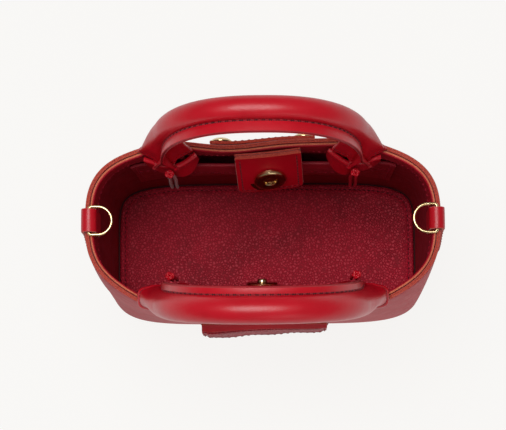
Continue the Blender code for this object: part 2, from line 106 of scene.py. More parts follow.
COLLAR_BOTTOM = 0.1410
KNOT_Z = 0.1585
KNOT_DEPTH = 0.0027
KNOT_HEIGHT = 0.0027
KNOT_STRAND = 0.00064
LACE_RADIUS = 0.0010
RING_WIRE = 0.00095
RING_HALF_WIDTH = 0.0080
RING_ARM = 0.0050
RING_CORNER = 0.0016
TAB_HALF_WIDTH = 0.0062
TAB_FOOT_HALF_WIDTH = 0.0140
TAB_OUTER_BOTTOM = 0.094
TAB_INNER_BOTTOM = 0.140
TAB_STRAIGHT_TOP = 0.150
CLOSURE_HINGE_Z = 0.1585
CLOSURE_HALF_WIDTH = 0.0188
CLOSURE_LENGTH = 0.0345
CLOSURE_FACE = 0.0016
CLOSURE_LINER = 0.0010
CLOSURE_SPACE = 0.0012
CLOSURE_CORNER = 0.0040
SNAP_RADIUS = 0.0094
SNAP_AT = 0.0190
CLOSURE_TILTS = {"back": math.radians(24), "front": math.radians(9)}
BAND_HALF_WIDTH = 0.030
BAND_LOW = 0.136
BAND_HIGH = 0.154
STUD_X = 0.0240
STUD_RADIUS = 0.0062

# A tail's way down from its knot: apart from its twin, towards the bag's middle, inwards, down
LACE_ROUTE = (
    (0.00140, 0.0000, 0.0000, 0.000), (0.00142, 0.0001, 0.0000, 0.003), (0.00145, 0.0003, 0.0001, 0.006),
    (0.00148, 0.0005, 0.0001, 0.009), (0.00150, 0.0006, 0.0002, 0.012), (0.00153, 0.0007, 0.0003, 0.015),
    (0.00155, 0.0007, 0.0004, 0.018), (0.00158, 0.0006, 0.0005, 0.021), (0.00160, 0.0005, 0.0006, 0.024),
    (0.00160, 0.0004, 0.0008, 0.027), (0.00160, 0.0003, 0.0009, 0.030), (0.00158, 0.0002, 0.0011, 0.033),
    (0.00155, 0.0002, 0.0012, 0.036), (0.00153, 0.0002, 0.0014, 0.039), (0.00150, 0.0003, 0.0015, 0.042),
)

SIDES = {"front": -1, "back": 1}
HANDS = {"left": -1, "right": 1}

# Camera: where it stands, where it looks and its field
CAMERA_PLACE = (0.01687, -0.11845, 1.2075)
CAMERA_PITCH = 0.1174
CAMERA_YAW = -0.02115
CAMERA_ROLL = -0.0062
CAMERA_LENS = 132.08
SENSOR_WIDTH = 36.0
FLOOR_HALF = 6.0

# Sewing: stitches of a common seam, half the thread's thickness, how far it stands out of the leather
SEAM_PITCH = 0.0038
SEAM_STITCH = 0.0025
SEAM_THREAD = 0.00038
THREAD_PROUD = 0.00012
FACING_THREAD = 0.00032


# ---------------------------------------------------------------- small helpers

def mix(low, high, share):
    return low + (high - low) * share


def smooth(share):
    share = np.clip(share, 0.0, 1.0)
    return share * share * (3 - 2 * share)


def unit(vectors):
    return vectors / np.maximum(np.linalg.norm(vectors, axis=-1, keepdims=True), 1e-12)


def wave(x):
    swell = RIM_BULGE * np.exp(-((np.abs(x) - RIM_BULGE_X) / RIM_BULGE_SPREAD) ** 2)
    return swell - RIM_DIP * np.exp(-(x / RIM_DIP_SPREAD) ** 2)


def respaced(points, wanted):
    """Points at the wanted distances along a finely drawn line."""
    travelled = np.concatenate([[0.0], np.cumsum(np.linalg.norm(np.diff(points, axis=0), axis=1))])
    return np.stack([np.interp(wanted, travelled, points[:, axis]) for axis in range(points.shape[1])], 1)


def length_of(points):
    return float(np.linalg.norm(np.diff(points, axis=0), axis=1).sum())


# ---------------------------------------------------------------- outline of the body

COLUMNS = 150
OUTLINE_CACHE = {}


def outline(z):
    """Points and outward normals along the back half of the wall at one height."""
    key = round(float(z), 6)
    if key not in OUTLINE_CACHE:
        rise = z / RIM_HEIGHT
        power = 2 / mix(BASE_SQUARENESS, RIM_SQUARENESS, rise)
        angle = np.linspace(math.pi, 0.0, 2401)
        cosine, sine = np.cos(angle), np.abs(np.sin(angle))
        x = mix(BASE_HALF_WIDTH, RIM_HALF_WIDTH, rise) * np.sign(cosine) * np.abs(cosine) ** power
        y = mix(BASE_HALF_DEPTH, RIM_HALF_DEPTH, rise) * sine ** power + wave(x) * rise ** 4
        fine = np.stack([x, np.maximum(y, 0.0)], 1)
        points = respaced(fine, np.linspace(0.0, length_of(fine), COLUMNS + 1))
        run = unit(np.gradient(points, axis=0))
        normals = np.stack([-run[:, 1], run[:, 0]], 1)
        normals[0] = (-1.0, 0.0)
        normals[-1] = (1.0, 0.0)
        OUTLINE_CACHE[key] = (points, normals)
    return OUTLINE_CACHE[key]


def settle(points):
    """The slow unevenness of used leather, the same for all layers that lie on each other."""
    x, y, z = points[..., 0], points[..., 1], points[..., 2]
    rise = z / RIM_HEIGHT
    back = END_SET_BACK * smooth((np.abs(x) / RIM_HALF_WIDTH - 0.6) / 0.4) * rise ** 2
    side = np.tanh(y / 0.012)
    sway = 0.0006 * np.sin(41 * x + 1.3 * side) + 0.0004 * np.sin(83 * x - 2.1 * side + 25 * z)
    belly = (0.0016 - 0.0008 * side) * np.sin(math.pi * np.clip(rise, 0, 1)) * np.cos(15 * x + 0.3)
    back -= np.clip(side, 0, 1) * 0.0034 * np.exp(-((x + 0.020) / 0.022) ** 2) * rise ** 5
    fold = np.exp(-((x + 0.088) / 0.026) ** 2) * np.exp(-((rise - 0.45) / 0.30) ** 2) * smooth(rise / 0.2)
    back += np.clip(-side, 0, 1) * 0.0030 * fold
    lift = 0.0004 * np.sin(57 * x + 2 * side) * rise ** 6 * smooth((0.092 - np.abs(x)) / 0.02)
    moved = points.copy()
    moved[..., 1] += back + side * (sway * rise ** 2 + belly)
    moved[..., 2] += lift
    return moved


def wall_line(z, inset, side=1, relaxed=True):
    points, normals = outline(z)
    place = points - normals * inset
    line = np.stack([place[:, 0], side * place[:, 1], np.full(len(place), z)], 1)
    return settle(line) if relaxed else line


def wall_y(x, z, inset=0.0):
    """Distance of the wall from the middle plane, before it settles."""
    line = wall_line(z, inset, relaxed=False)
    return float(np.interp(x, line[:, 0], line[:, 1]))


def wall_x(y, z):
    """Distance of the wall's end from the bag's centre, before it settles."""
    half = wall_line(z, 0.0, relaxed=False)[COLUMNS // 2:][::-1]
    return float(np.interp(abs(y), half[:, 1], half[:, 0]))


# ---------------------------------------------------------------- mesh making

def mesh_piece(name, points, faces, looks, indices=None, sharp=38):
    """A mesh object of points and faces, with its materials given face by face."""
    mesh = bpy.data.meshes.new(name)
    mesh.from_pydata([tuple(map(float, point)) for point in points], [], faces)
    for look in looks:
        mesh.materials.append(look)
    if indices is not None:
        mesh.polygons.foreach_set("material_index", np.array(indices, np.int32))
    mesh.validate()
    mesh.shade_smooth()
    mesh.set_sharp_from_angle(angle=math.radians(sharp))
    piece = bpy.data.objects.new(name, mesh)
    bpy.context.scene.collection.objects.link(piece)
    return piece


def keep(piece, body, slot, *nodes):
    """The piece moves with a body and stands for CAD nodes, which are hidden. The slot is not used."""
    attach(piece, body)
    if nodes:
        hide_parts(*nodes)


def quads(rows, columns, start=0, around_rows=False, around_columns=False):
    faces = []
    for row in range(rows if around_rows else rows - 1):
        below = start + row * columns
        above = start + (row + 1) % rows * columns
        for column in range(columns if around_columns else columns - 1):
            after = (column + 1) % columns
            faces.append((below + column, below + after, above + after, above + column))
    return faces


# A cut edge between the two faces, as shares of the thickness: along it and outwards
EDGE_ROUND = ((0.40, 0.10), (0.18, 0.16), (-0.18, 0.16), (-0.40, 0.10))


def grid_of(rows, columns, point):
    """A grid of points, point(row, column) for each pair of values."""
    return np.array([[point(row, column) for column in columns] for row in rows])


def facing_normals(grid, toward, at=None):
    """Normals of a grid of points, taken on the side that looks towards a direction."""
    normal = unit(np.cross(np.gradient(grid, axis=1), np.gradient(grid, axis=0)))
    row, column = at or (grid.shape[0] // 2, grid.shape[1] // 2)
    return normal if normal[row, column] @ np.array(toward, float) > 0 else -normal


def slab(name, grid, thickness, looks, toward, at=None):
    """A sheet of leather with a cut edge round it; grid is its middle surface, as rows of points.

    looks are the materials of its face, its edge and its back; its face looks towards a direction.
    """
    rows, columns = grid.shape[:2]
    normal = facing_normals(grid, toward, at)
    last, end = rows - 1, columns - 1
    around = grid_path((0, 0), (0, end), (last, end), (last, 0), (0, 0))[:-1]
    rim = np.array([grid[place] for place in around])
    rim_normal = np.array([normal[place] for place in around])
    outward = unit(np.cross(rim_normal, np.roll(rim, -1, axis=0) - np.roll(rim, 1, axis=0)))
    if ((rim - grid.reshape(-1, 3).mean(0)) * outward).sum() < 0:
        outward = -outward
    points = [(grid + normal * thickness / 2).reshape(-1, 3), (grid - normal * thickness / 2).reshape(-1, 3)]
    faces = quads(rows, columns)
    indices = [0] * len(faces) + [2 if len(looks) > 2 else 0] * len(faces)
    faces += [face[::-1] for face in quads(rows, columns, rows * columns)]
    face_rim = np.array([row * columns + column for row, column in around])
    rings = [face_rim]
    for share, reach in EDGE_ROUND:
        rings.append(np.arange(len(around)) + sum(map(len, points)))
        points.append(rim + rim_normal * thickness * share + outward * thickness * reach)
    rings.append(face_rim + rows * columns)
    for upper, lower in zip(rings, rings[1:]):
        band = zip(upper, lower, np.roll(lower, -1), np.roll(upper, -1))
        faces += [tuple(map(int, face)) for face in band]
    indices += [1] * (len(faces) - len(indices))
    points = np.concatenate(points)
    return mesh_piece(name, points, recalculated(points, faces), looks, indices)


def recalculated(points, faces):
    """The same closed surface with all of its faces turned outwards."""
    shape = bmesh.new()
    corners = [shape.verts.new(point) for point in points]
    made = [shape.faces.new([corners[i] for i in face]) for face in faces]
    bmesh.ops.recalc_face_normals(shape, faces=shape.faces)
    shape.verts.index_update()
    turned = [tuple(vertex.index for vertex in face.verts) for face in made]
    shape.free()
    return turned


def loft(name, rings, looks, indices=(0,), closed=False, caps=None, sharp=38):
    """A surface through rings of equal point count, capped at both ends or closed on itself."""
    rings = np.array(rings, float)
    count, sides = rings.shape[:2]
    points = rings.reshape(-1, 3)
    faces = quads(count, sides, around_rows=closed, around_columns=True)
    chosen = list(indices) * (len(faces) // len(indices))
    if not closed:
        faces += [tuple(range(sides)), tuple(range((count - 1) * sides, count * sides))]
        chosen += caps or [min(1, len(looks) - 1)] * 2
    return mesh_piece(name, points, recalculated(points, faces), looks, chosen, sharp)


def ring_tube(name, path, radius, looks, sides, reference=(0.0, 0.0, 1.0)):
    """A round tube along a path that closes on itself."""
    path = np.array(path, float)
    tangent = unit(np.roll(path, -1, axis=0) - np.roll(path, 1, axis=0))
    side = unit(np.cross(tangent, np.array(reference)))
    up = np.cross(side, tangent)
    angle = np.linspace(0, 2 * math.pi, sides, endpoint=False)[None, :, None]
    rings = path[:, None] + radius * (side[:, None] * np.cos(angle) + up[:, None] * np.sin(angle))
    return loft(name, rings, looks, closed=True, sharp=50)


def turned(name, profile, looks, place):
    """A turned piece: profile points are (radius, height); place is its matrix."""
    angles = np.linspace(0, 2 * math.pi, 48, endpoint=False)
    rings = grid_of(profile, angles, lambda spot, a: (spot[0] * math.cos(a), spot[0] * math.sin(a), spot[1]))
    return loft(name, moved_by(place, rings), looks, sharp=30)


def moved_by(place, points):
    matrix = np.array(place)
    return points @ matrix[:3, :3].T + matrix[:3, 3]


def stitches(name, places, looks, length, radius):
    """A row of sewn stitches: each place is its centre, its direction and the surface's normal."""
    sides, stations = 6, 5
    angles = [2 * math.pi * side / sides for side in range(sides)]
    points, faces, indices = [], [], []

    def ring(middle, fat, first_axis, second_axis):
        points.extend(middle + fat * (first_axis * math.cos(a) + second_axis * math.sin(a)) for a in angles)

    def caps(low, high):
        return [tuple(range(low + sides - 1, low - 1, -1)), tuple(range(high, high + sides))]

    for centre, direction, normal in places:
        direction = unit(direction - normal * (direction @ normal))
        across = np.cross(normal, direction)
        start = len(points)
        for share in np.linspace(-1, 1, stations):
            sink = normal * (THREAD_PROUD - 0.9 * radius * share * share)
            fat = radius * math.sqrt(max(0.12, 1 - 0.85 * share * share))
            ring(centre + direction * (share * length / 2) + sink, fat, across, normal)
        faces += quads(stations, sides, start, around_columns=True) + caps(start, start + (stations - 1) * sides)
        # At each end a flat dark disc: painted shade for the needle hole.
        for end in (-1, 1):
            first = len(points)
            middle = centre + direction * (end * (length / 2 + radius * 0.5))
            for level, size in ((-0.00015, 1.0), (0.00003, 0.75)):
                ring(middle + normal * level, radius * 1.35 * size, direction, across)
            faces += quads(2, sides, first, around_columns=True) + caps(first, first + sides)
        indices += [0] * ((stations - 1) * sides + 2) + [1] * (2 * (sides + 2))
    return mesh_piece(name, points, faces, looks, indices, sharp=60)


def along(path, normals, pitch, start=0.0, end=0.0):
    """Places for stitches at a steady pitch along a path of points with normals."""
    path, normals = np.array(path, float), np.array(normals, float)
    total = length_of(path)
    count = max(1, int((total - start - end) / pitch))
    wanted = start + (total - start - end) * (np.arange(count) + 0.5) / count
    travelled = np.concatenate([[0.0], np.cumsum(np.linalg.norm(np.diff(path, axis=0), axis=1))])
    centre = respaced(path, wanted)
    ahead = respaced(path, np.minimum(wanted + 0.0004, total)) - respaced(path, wanted - 0.0004)
    facing = np.stack([np.interp(wanted, travelled, normals[:, axis]) for axis in range(3)], 1)
    return list(zip(centre, unit(ahead), unit(facing)))


def grid_path(*corners):
    """The places of a grid on the way from corner to corner."""
    spots = [corners[0]]
    for goal in corners[1:]:
        while spots[-1] != goal:
            row, column = spots[-1]
            spots.append((row + np.sign(goal[0] - row), column + np.sign(goal[1] - column)))
    return spots


def seam_on(name, grid, toward, spots, pitch=SEAM_PITCH, length=SEAM_STITCH, looks=None, lift=STRAP / 2,
            ends=0.001, at=None):
    """Stitches through chosen places of a grid, lifted to the surface of the leather."""
    normal = facing_normals(grid, toward, at)
    line = np.array([grid[spot] + normal[spot] * lift for spot in spots])
    facing = np.array([normal[spot] for spot in spots])
    return stitches(name, along(line, facing, pitch, ends, ends), looks or SEWN, length, SEAM_THREAD)


# ---------------------------------------------------------------- materials

# Depth of the finest grain of smooth leather
GRAIN = 0.00007


def new_look(name):
    look = bpy.data.materials.new(name)
    look.use_nodes = True
    tree = look.node_tree
    return look, tree, tree.nodes["Principled BSDF"], add(tree, "ShaderNodeTexCoord").outputs["Object"]


def dress(tree, node, inputs):
    """Each input named gets its value, or a link from another node's output."""
    for key, value in inputs.items():
        if isinstance(value, bpy.types.NodeSocket):
            tree.links.new(value, node.inputs[key])
        else:
            node.inputs[key].default_value = value


def add(tree, kind, inputs=None, **settings):
    made = tree.nodes.new(kind)
    for key, value in settings.items():
        setattr(made, key, value)
    dress(tree, made, inputs or {})
    return made


def ramp(tree, value, stops):
    made = add(tree, "ShaderNodeValToRGB", {"Fac": value})
    while len(made.color_ramp.elements) < len(stops):
        made.color_ramp.elements.new(0.5)
    for element, (position, colour) in zip(made.color_ramp.elements, stops):
        element.position = position
        element.color = (*colour, 1.0)
    return made.outputs["Color"]


def noise(tree, where, scale, detail=3.0, rough=0.55, twist=0.0):
    inputs = {"Vector": where, "Scale": scale, "Detail": detail, "Roughness": rough, "Distortion": twist}
    return add(tree, "ShaderNodeTexNoise", inputs).outputs["Fac"]


def cells(tree, where, scale, feature="F1"):
    return add(tree, "ShaderNodeTexVoronoi", {"Vector": where, "Scale": scale}, feature=feature).outputs["Distance"]


def blend_colour(tree, share, low, high):
    inputs = {0: share, 6: low, 7: high}
    inputs = {key: (*value, 1.0) if isinstance(value, tuple) else value for key, value in inputs.items()}
    return add(tree, "ShaderNodeMix", inputs, data_type="RGBA").outputs[2]


def spread_value(tree, value, low, high, to_low, to_high, curve="LINEAR"):
    inputs = {"Value": value, "From Min": low, "From Max": high, "To Min": to_low, "To Max": to_high}
    return add(tree, "ShaderNodeMapRange", inputs, interpolation_type=curve).outputs["Result"]


def bump(tree, height, depth, below=None, strength=1.0):
    inputs = {"Height": height, "Distance": depth, "Strength": strength}
    if below is not None:
        inputs["Normal"] = below
    return add(tree, "ShaderNodeBump", inputs).outputs["Normal"]


def worn(tree, colour, lighter):
    """Lighter leather where an edge sticks out and has been rubbed."""
    point = add(tree, "ShaderNodeNewGeometry").outputs["Pointiness"]
    return blend_colour(tree, spread_value(tree, point, 0.52, 0.60, 0.0, 0.30), colour, lighter)


def smooth_leather(name, deep, middle, bright, rough, gloss=0.42):
    look, tree, shader, where = new_look(name)
    broad = noise(tree, where, 38, 3, 0.6, 0.4)
    colour = ramp(tree, broad, ((0.15, deep), (0.50, middle), (0.90, bright)))
    pores = cells(tree, where, 1500)
    colour = blend_colour(tree, spread_value(tree, pores, 0.0, 0.45, 0.16, 0.0), colour, deep)
    normal = bump(tree, noise(tree, where, 240, 3, 0.5, 1.8), GRAIN * 2.2, strength=0.45)
    normal = bump(tree, pores, GRAIN, normal, 0.35)
    normal = bump(tree, noise(tree, where, 2400, 3, 0.6), GRAIN, normal, 0.35)
    sheen = spread_value(tree, noise(tree, where, 160, 4, 0.6), 0.3, 0.7, *rough)
    dress(tree, shader, {"Base Color": worn(tree, colour, bright), "Roughness": sheen, "Normal": normal,
                         "Specular IOR Level": gloss})
    return look


def pebbled_leather(name, deep, middle, bright, scale=560, depth=0.00022):
    look, tree, shader, where = new_look(name)
    bend = add(tree, "ShaderNodeTexNoise", {"Vector": where, "Scale": 170.0, "Detail": 2.0}).outputs["Color"]
    offset = add(tree, "ShaderNodeVectorMath", {0: bend, 1: (0.0022,) * 3}, operation="MULTIPLY").outputs[0]
    bent = add(tree, "ShaderNodeVectorMath", {0: where, 1: offset}, operation="ADD").outputs[0]
    tops = spread_value(tree, cells(tree, bent, scale, "DISTANCE_TO_EDGE"), 0.01, 0.26, 0.0, 1.0, "SMOOTHERSTEP")
    base = ramp(tree, noise(tree, where, 30, 3, 0.6), ((0.3, deep), (0.55, middle), (0.8, middle)))
    # Painted highlight: the pebble tops are lightened towards the bright tone. Painted shade: the crevices between
    # pebbles are darkened towards the deep tone.
    colour = blend_colour(tree, spread_value(tree, tops, 0.35, 0.95, 0.0, 0.55), base, bright)
    colour = blend_colour(tree, spread_value(tree, tops, 0.0, 0.40, 0.60, 0.0), colour, deep)
    normal = bump(tree, cells(tree, bent, scale * 2.3), depth * 0.20, bump(tree, tops, depth), 0.35)
    dress(tree, shader, {"Base Color": colour, "Roughness": spread_value(tree, tops, 0.0, 1.0, 0.66, 0.50),
                         "Normal": normal, "Specular IOR Level": 0.26})
    return look


def raw_edge_leather(name, deep, middle, bright):
    """The cut edge: suede fibre, burnished in places."""
    look, tree, shader, where = new_look(name)
    fibre = noise(tree, where, 1300, 5, 0.7, 0.6)
    colour = ramp(tree, fibre, ((0.34, deep), (0.50, middle), (0.68, bright)))
    patch = spread_value(tree, noise(tree, where, 150, 3, 0.6), 0.42, 0.66, 0.0, 0.55)
    normal = bump(tree, noise(tree, where, 420, 3), 0.0004, bump(tree, fibre, 0.00030), 0.5)
    dress(tree, shader, {"Base Color": blend_colour(tree, patch, colour, middle), "Roughness": 0.88,
                         "Specular IOR Level": 0.25, "Sheen Weight": 0.25, "Normal": normal})
    return look


def plain_look(name, low, high, scale, rough, depth, detail=5.0, texture=0.65, twist=0.0, turn=0.65):
    """A colour that varies between two tones, with a bump of the same pattern."""
    look, tree, shader, where = new_look(name)
    cloud = noise(tree, where, scale, detail, texture, twist)
    dress(tree, shader, {"Base Color": ramp(tree, cloud, ((0.35, low), (turn, high))), "Roughness": rough,
                         "Normal": bump(tree, cloud, depth)})
    return look


def thread_look(name, colour, dark):
    return plain_look(name, dark, colour, 3600, 0.62, 0.0001, 2.0, 0.5, 2.0, 0.62)


def brass_look():
    look, tree, shader, where = new_look("gold_brass")
    tones = ((0.30, (0.50, 0.35, 0.16)), (0.62, (0.72, 0.55, 0.31)))
    scratch = noise(tree, where, 1500, 4, 0.7, 0.5)
    dress(tree, shader, {"Base Color": ramp(tree, noise(tree, where, 420, 4, 0.6), tones), "Metallic": 1.0,
                         "Roughness": spread_value(tree, scratch, 0.3, 0.7, 0.11, 0.24),
                         "Normal": bump(tree, scratch, 0.00002)})
    return look


LEATHER = smooth_leather("smooth_leather", (0.40, 0.0012, 0.008), (0.49, 0.0020, 0.012), (0.55, 0.0055, 0.018),
                         rough=(0.31, 0.40))
# The walls: the handles' smooth leather made rougher and less glossy, with its colour darkened as painted shade
# that damps the pale sheen at grazing angles.
SHADED_WALL_LEATHER = smooth_leather("wall_leather_painted_shade", (0.33, 0.0012, 0.008), (0.41, 0.0020, 0.012), (0.47, 0.0055, 0.018),
                              rough=(0.50, 0.62), gloss=0.20)
EDGE_PAINT = smooth_leather("edge_paint", (0.24, 0.004, 0.010), (0.34, 0.010, 0.018), (0.42, 0.024, 0.030),
                            rough=(0.45, 0.60))
INNER_LEATHER = smooth_leather("facing_leather", (0.30, 0.003, 0.012), (0.40, 0.005, 0.018), (0.48, 0.012, 0.026),
                               rough=(0.42, 0.56))
# Both pebbled leathers paint a highlight on their pebble tops and shade in their crevices.
PEBBLED = pebbled_leather("pebbled_leather", (0.24, 0.002, 0.012), (0.50, 0.006, 0.028), (0.66, 0.018, 0.048))
SOFT_PEBBLED = pebbled_leather("soft_pebbled_leather", (0.20, 0.003, 0.011), (0.40, 0.008, 0.022),
                               (0.54, 0.040, 0.050), 700, 0.00025)
LINING_LOOK = smooth_leather("lining_leather", (0.24, 0.002, 0.012), (0.31, 0.003, 0.015), (0.38, 0.005, 0.019),
                             rough=(0.50, 0.66))
RAW_EDGE = raw_edge_leather("raw_edge", (0.30, 0.020, 0.014), (0.48, 0.052, 0.030), (0.64, 0.13, 0.075))
# The facing's cut top edge: a lighter copy of the raw edge, a painted highlight along the rim's inner corner.
HIGHLIT_FACING_EDGE = raw_edge_leather("raw_edge_painted_highlight", (0.44, 0.07, 0.04), (0.62, 0.15, 0.075), (0.76, 0.26, 0.14))
SUEDE = raw_edge_leather("suede_back", (0.24, 0.020, 0.024), (0.38, 0.045, 0.050), (0.50, 0.10, 0.10))
THREAD = thread_look("dark_red_thread", (0.33, 0.009, 0.022), (0.13, 0.002, 0.007))
BRIGHT_THREAD = thread_look("red_thread", (0.56, 0.012, 0.050), (0.30, 0.005, 0.022))
# Near-black discs at the ends of every stitch: painted shade standing for the needle holes.
NEEDLE_HOLE_SHADE = plain_look("needle_hole_painted_shade", (0.040, 0.001, 0.004), (0.080, 0.002, 0.006), 900, 0.9, 0.0001)
BRASS = brass_look()
FILLER = plain_look("filler", (0.34, 0.27, 0.19), (0.52, 0.43, 0.32), 700, 0.9, 0.0003)
BOARD = plain_look("board", (0.050, 0.005, 0.006), (0.090, 0.010, 0.011), 900, 0.85, 0.0002)
SEWN = (THREAD, NEEDLE_HOLE_SHADE)
BRIGHT_SEWN = (BRIGHT_THREAD, NEEDLE_HOLE_SHADE)
CUT_LEATHER = (LEATHER, RAW_EDGE, SUEDE)
HANDLE_LEATHER = (LEATHER, EDGE_PAINT, SUEDE)


# ---------------------------------------------------------------- camera, lights and floor

def build_camera():
    forward = Vector((math.sin(CAMERA_YAW), math.sin(CAMERA_PITCH) * math.cos(CAMERA_YAW),
                      -math.cos(CAMERA_PITCH) * math.cos(CAMERA_YAW)))
    right = forward.cross(Vector((0.0, 1.0, 0.0))).normalized()
    up = right.cross(forward).normalized()
    across = right * math.cos(CAMERA_ROLL) + up * math.sin(CAMERA_ROLL)
    above = up * math.cos(CAMERA_ROLL) - right * math.sin(CAMERA_ROLL)
    data = bpy.data.cameras.new("camera")
    data.lens = CAMERA_LENS
    data.sensor_width = SENSOR_WIDTH
    camera = bpy.data.objects.new("camera", data)
    camera.matrix_world = Matrix.Translation(CAMERA_PLACE) @ Matrix((across, above, -forward)).transposed().to_4x4()
    bpy.context.scene.collection.objects.link(camera)
    bpy.context.scene.camera = camera


def area_light(name, place, target, size, power):
    data = bpy.data.lights.new(name, "AREA")
    data.shape = "DISK"
    data.size = size
    data.energy = power
    light = bpy.data.objects.new(name, data)
    light.location = place
    light.rotation_mode = "QUATERNION"
    light.rotation_quaternion = (Vector(target) - Vector(place)).to_track_quat("-Z", "Y")
    bpy.context.scene.collection.objects.link(light)


def build_studio():
    bpy.context.scene.view_settings.view_transform = "Standard"
    world = bpy.data.worlds.new("studio")
    world.use_nodes = True
    backdrop = world.node_tree.nodes["Background"]
    backdrop.inputs["Color"].default_value = (0.97, 0.96, 0.94, 1.0)
    backdrop.inputs["Strength"].default_value = 0.21
    bpy.context.scene.world = world
    area_light("overhead_softbox", (-0.10, 0.10, 1.05), (0.0, 0.0, 0.12), 0.55, 6.3)
    area_light("front_fill", (0.35, -0.95, 0.75), (0.0, 0.0, 0.10), 0.70, 1.2)
    look, tree, shader, where = new_look("floor")
    tones = ((0.3, (0.078, 0.077, 0.076)), (0.7, (0.082, 0.081, 0.080)))
    dress(tree, shader, {"Base Color": ramp(tree, noise(tree, where, 6), tones), "Roughness": 0.95,
                         "Specular IOR Level": 0.1, "Emission Color": (0.882, 0.874, 0.858, 1.0),
                         "Emission Strength": 1.0})
    corners = [(x * FLOOR_HALF, y * FLOOR_HALF, -0.0004) for x, y in ((-1, -1), (1, -1), (1, 1), (-1, 1))]
    mesh_piece("floor", corners, [(0, 1, 2, 3)], [look])


# ---------------------------------------------------------------- lace tails, the cords

def knot_centre(turn, side):
    clear = 1.35 * STRAP + 2 * GAP + KNOT_DEPTH
    return np.array((turn * FIXING_X, side * (COLLAR_VERTEX_Y - clear), KNOT_Z))


def build_tail(label, turn, side, strand, apart):
    centre = knot_centre(turn, side)
    top = centre[2] - KNOT_HEIGHT - GAP
    curve = bpy.data.curves.new("tail_" + label + "_" + strand, "CURVE")
    curve.dimensions = "3D"
    curve.bevel_depth = LACE_RADIUS
    curve.bevel_resolution = 4
    curve.use_fill_caps = True
    spline = curve.splines.new("POLY")
    spline.points.add(len(LACE_ROUTE) - 1)
    points = [(centre[0] + apart * spread - turn * drift, centre[1] - side * inwards, top - drop)
              for spread, drift, inwards, drop in LACE_ROUTE]
    for target, point in zip(spline.points, points):
        target.co = (*point, 1.0)
    curve.materials.append(SUEDE if side > 0 > turn else LEATHER)
    tail = bpy.data.objects.new(curve.name, curve)
    bpy.context.scene.collection.objects.link(tail)
    keep(tail, "bag", "smooth_leather", "lace_tail_" + label + "_" + strand)
    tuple(points[0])


def build_knot(label, turn, side):
    """A round knot of the lace, woven over and under with four lobes."""
    centre = knot_centre(turn, side)
    steps = 132
    path = []
    for step in range(steps):
        angle = 6 * math.pi * step / steps
        reach = 0.00150 + 0.00062 * math.cos(4 * angle / 3)
        weave = 0.00065 * math.sin(8 * angle / 3)
        path.append((reach * math.cos(angle), reach * math.sin(angle) * 0.92, weave))
    tilt = np.array(Matrix.Rotation(math.radians(24 * side), 3, "X"))
    path = np.array(path) @ tilt.T + centre
    knot = ring_tube("knot_" + label, path, KNOT_STRAND, [LEATHER], 10, (0.02, 0.03, 1.0))
    keep(knot, "bag", "smooth_leather", "lace_knot_" + label)


# ---------------------------------------------------------------- walls, lining and base

def swept(name, side, profile, looks):
    """A closed profile of (inset, height, material) swept along one half of the outline."""
    rings = np.stack([wall_line(height, inset, side) for inset, height, _ in profile], 1)
    rough = np.random.default_rng(11)
    for index, (_, height, material) in enumerate(profile):
        if material == 1 and height > RIM_HEIGHT - 0.0008:
            rings[:, index, 2] += rough.uniform(-0.00014, 0.0, len(rings))
    return loft(name, rings, looks, [material for _, _, material in profile])


def levels(low, high, count):
    return [mix(low, high, step / count) for step in range(count + 1)]


def layer_profile(outer, thickness, low, high, steps, grooves=(), skived=0.0):
    """Outline of one leather layer: up its outer face, over the cut top and down the inside."""
    corner = min(0.00045, thickness / 4)
    profile = [(outer, level, 0) for level in levels(low, high - 2 * corner, steps)]
    profile += [(outer + 0.25 * corner, high - 0.8 * corner, 1), (outer + corner, high, 1)]
    for groove in grooves:
        profile += [(outer + groove - 0.0002, high, 1), (outer + groove, high - 0.0004, 1)]
        profile += [(outer + groove + 0.0002, high, 1)]
    inner = outer + thickness
    if skived:
        profile += [(inner - skived, high, 0), (inner - 0.35 * skived, high - 0.4 * skived, 0)]
    else:
        profile += [(inner - corner, high, 1), (inner - 0.25 * corner, high - 0.8 * corner, 1)]
    profile += [(inner, level, 0) for level in levels(high - 2 * corner, low, steps)]
    profile[-1] = (*profile[-1][:2], 1)
    return profile


def build_walls():
    for place, side in SIDES.items():
        panel = layer_profile(0.0, PANEL, WALL_FOOT, RIM_HEIGHT, 16, (PANEL / 2,))
        # The outer panel's leather is darkened: painted shade.
        piece = swept(place + "_wall", side, panel, (SHADED_WALL_LEATHER, RAW_EDGE))
        keep(piece, "bag", "smooth_leather", place + "_panel")
        facing = layer_profile(PANEL + GAP, FACING, FACING_FOOT, RIM_HEIGHT, 5, skived=0.0009)
        # The facing's cut top edge is lightened: painted highlight.
        piece = swept(place + "_rim_facing", side, facing, (INNER_LEATHER, HIGHLIT_FACING_EDGE))
        keep(piece, "bag", "smooth_leather", place + "_facing")
        build_lining(place, side)
        inset = PANEL + GAP + FACING
        line = wall_line(FACING_FOOT + 0.0022, inset, side)
        facing_in = unit(np.gradient(line, axis=0))[:, [1, 0, 2]] * np.array((1.0, -1.0, 0.0)) * side
        sewn = stitches(place + "_facing_seam", along(line, facing_in, 0.0033, 0.002, 0.002), BRIGHT_SEWN, 0.0021,
                        FACING_THREAD)
        keep(sewn, "bag", "smooth_leather")


def build_lining(place, side):
    low, high = LINING_FOOT, FACING_FOOT - 2 * GAP
    inner = PANEL + GAP
    steps = 14
    profile = [(inner, level, 0) for level in levels(low, high, steps)]
    profile += [(inner + LINING, level, 0) for level in levels(high, low, steps)]
    piece = swept(place + "_inner_lining", side, profile, (LINING_LOOK, RAW_EDGE))
    keep(piece, "bag", "lining", place + "_lining")
    width = length_of(wall_line((low + high) / 2, inner + LINING / 2, side))


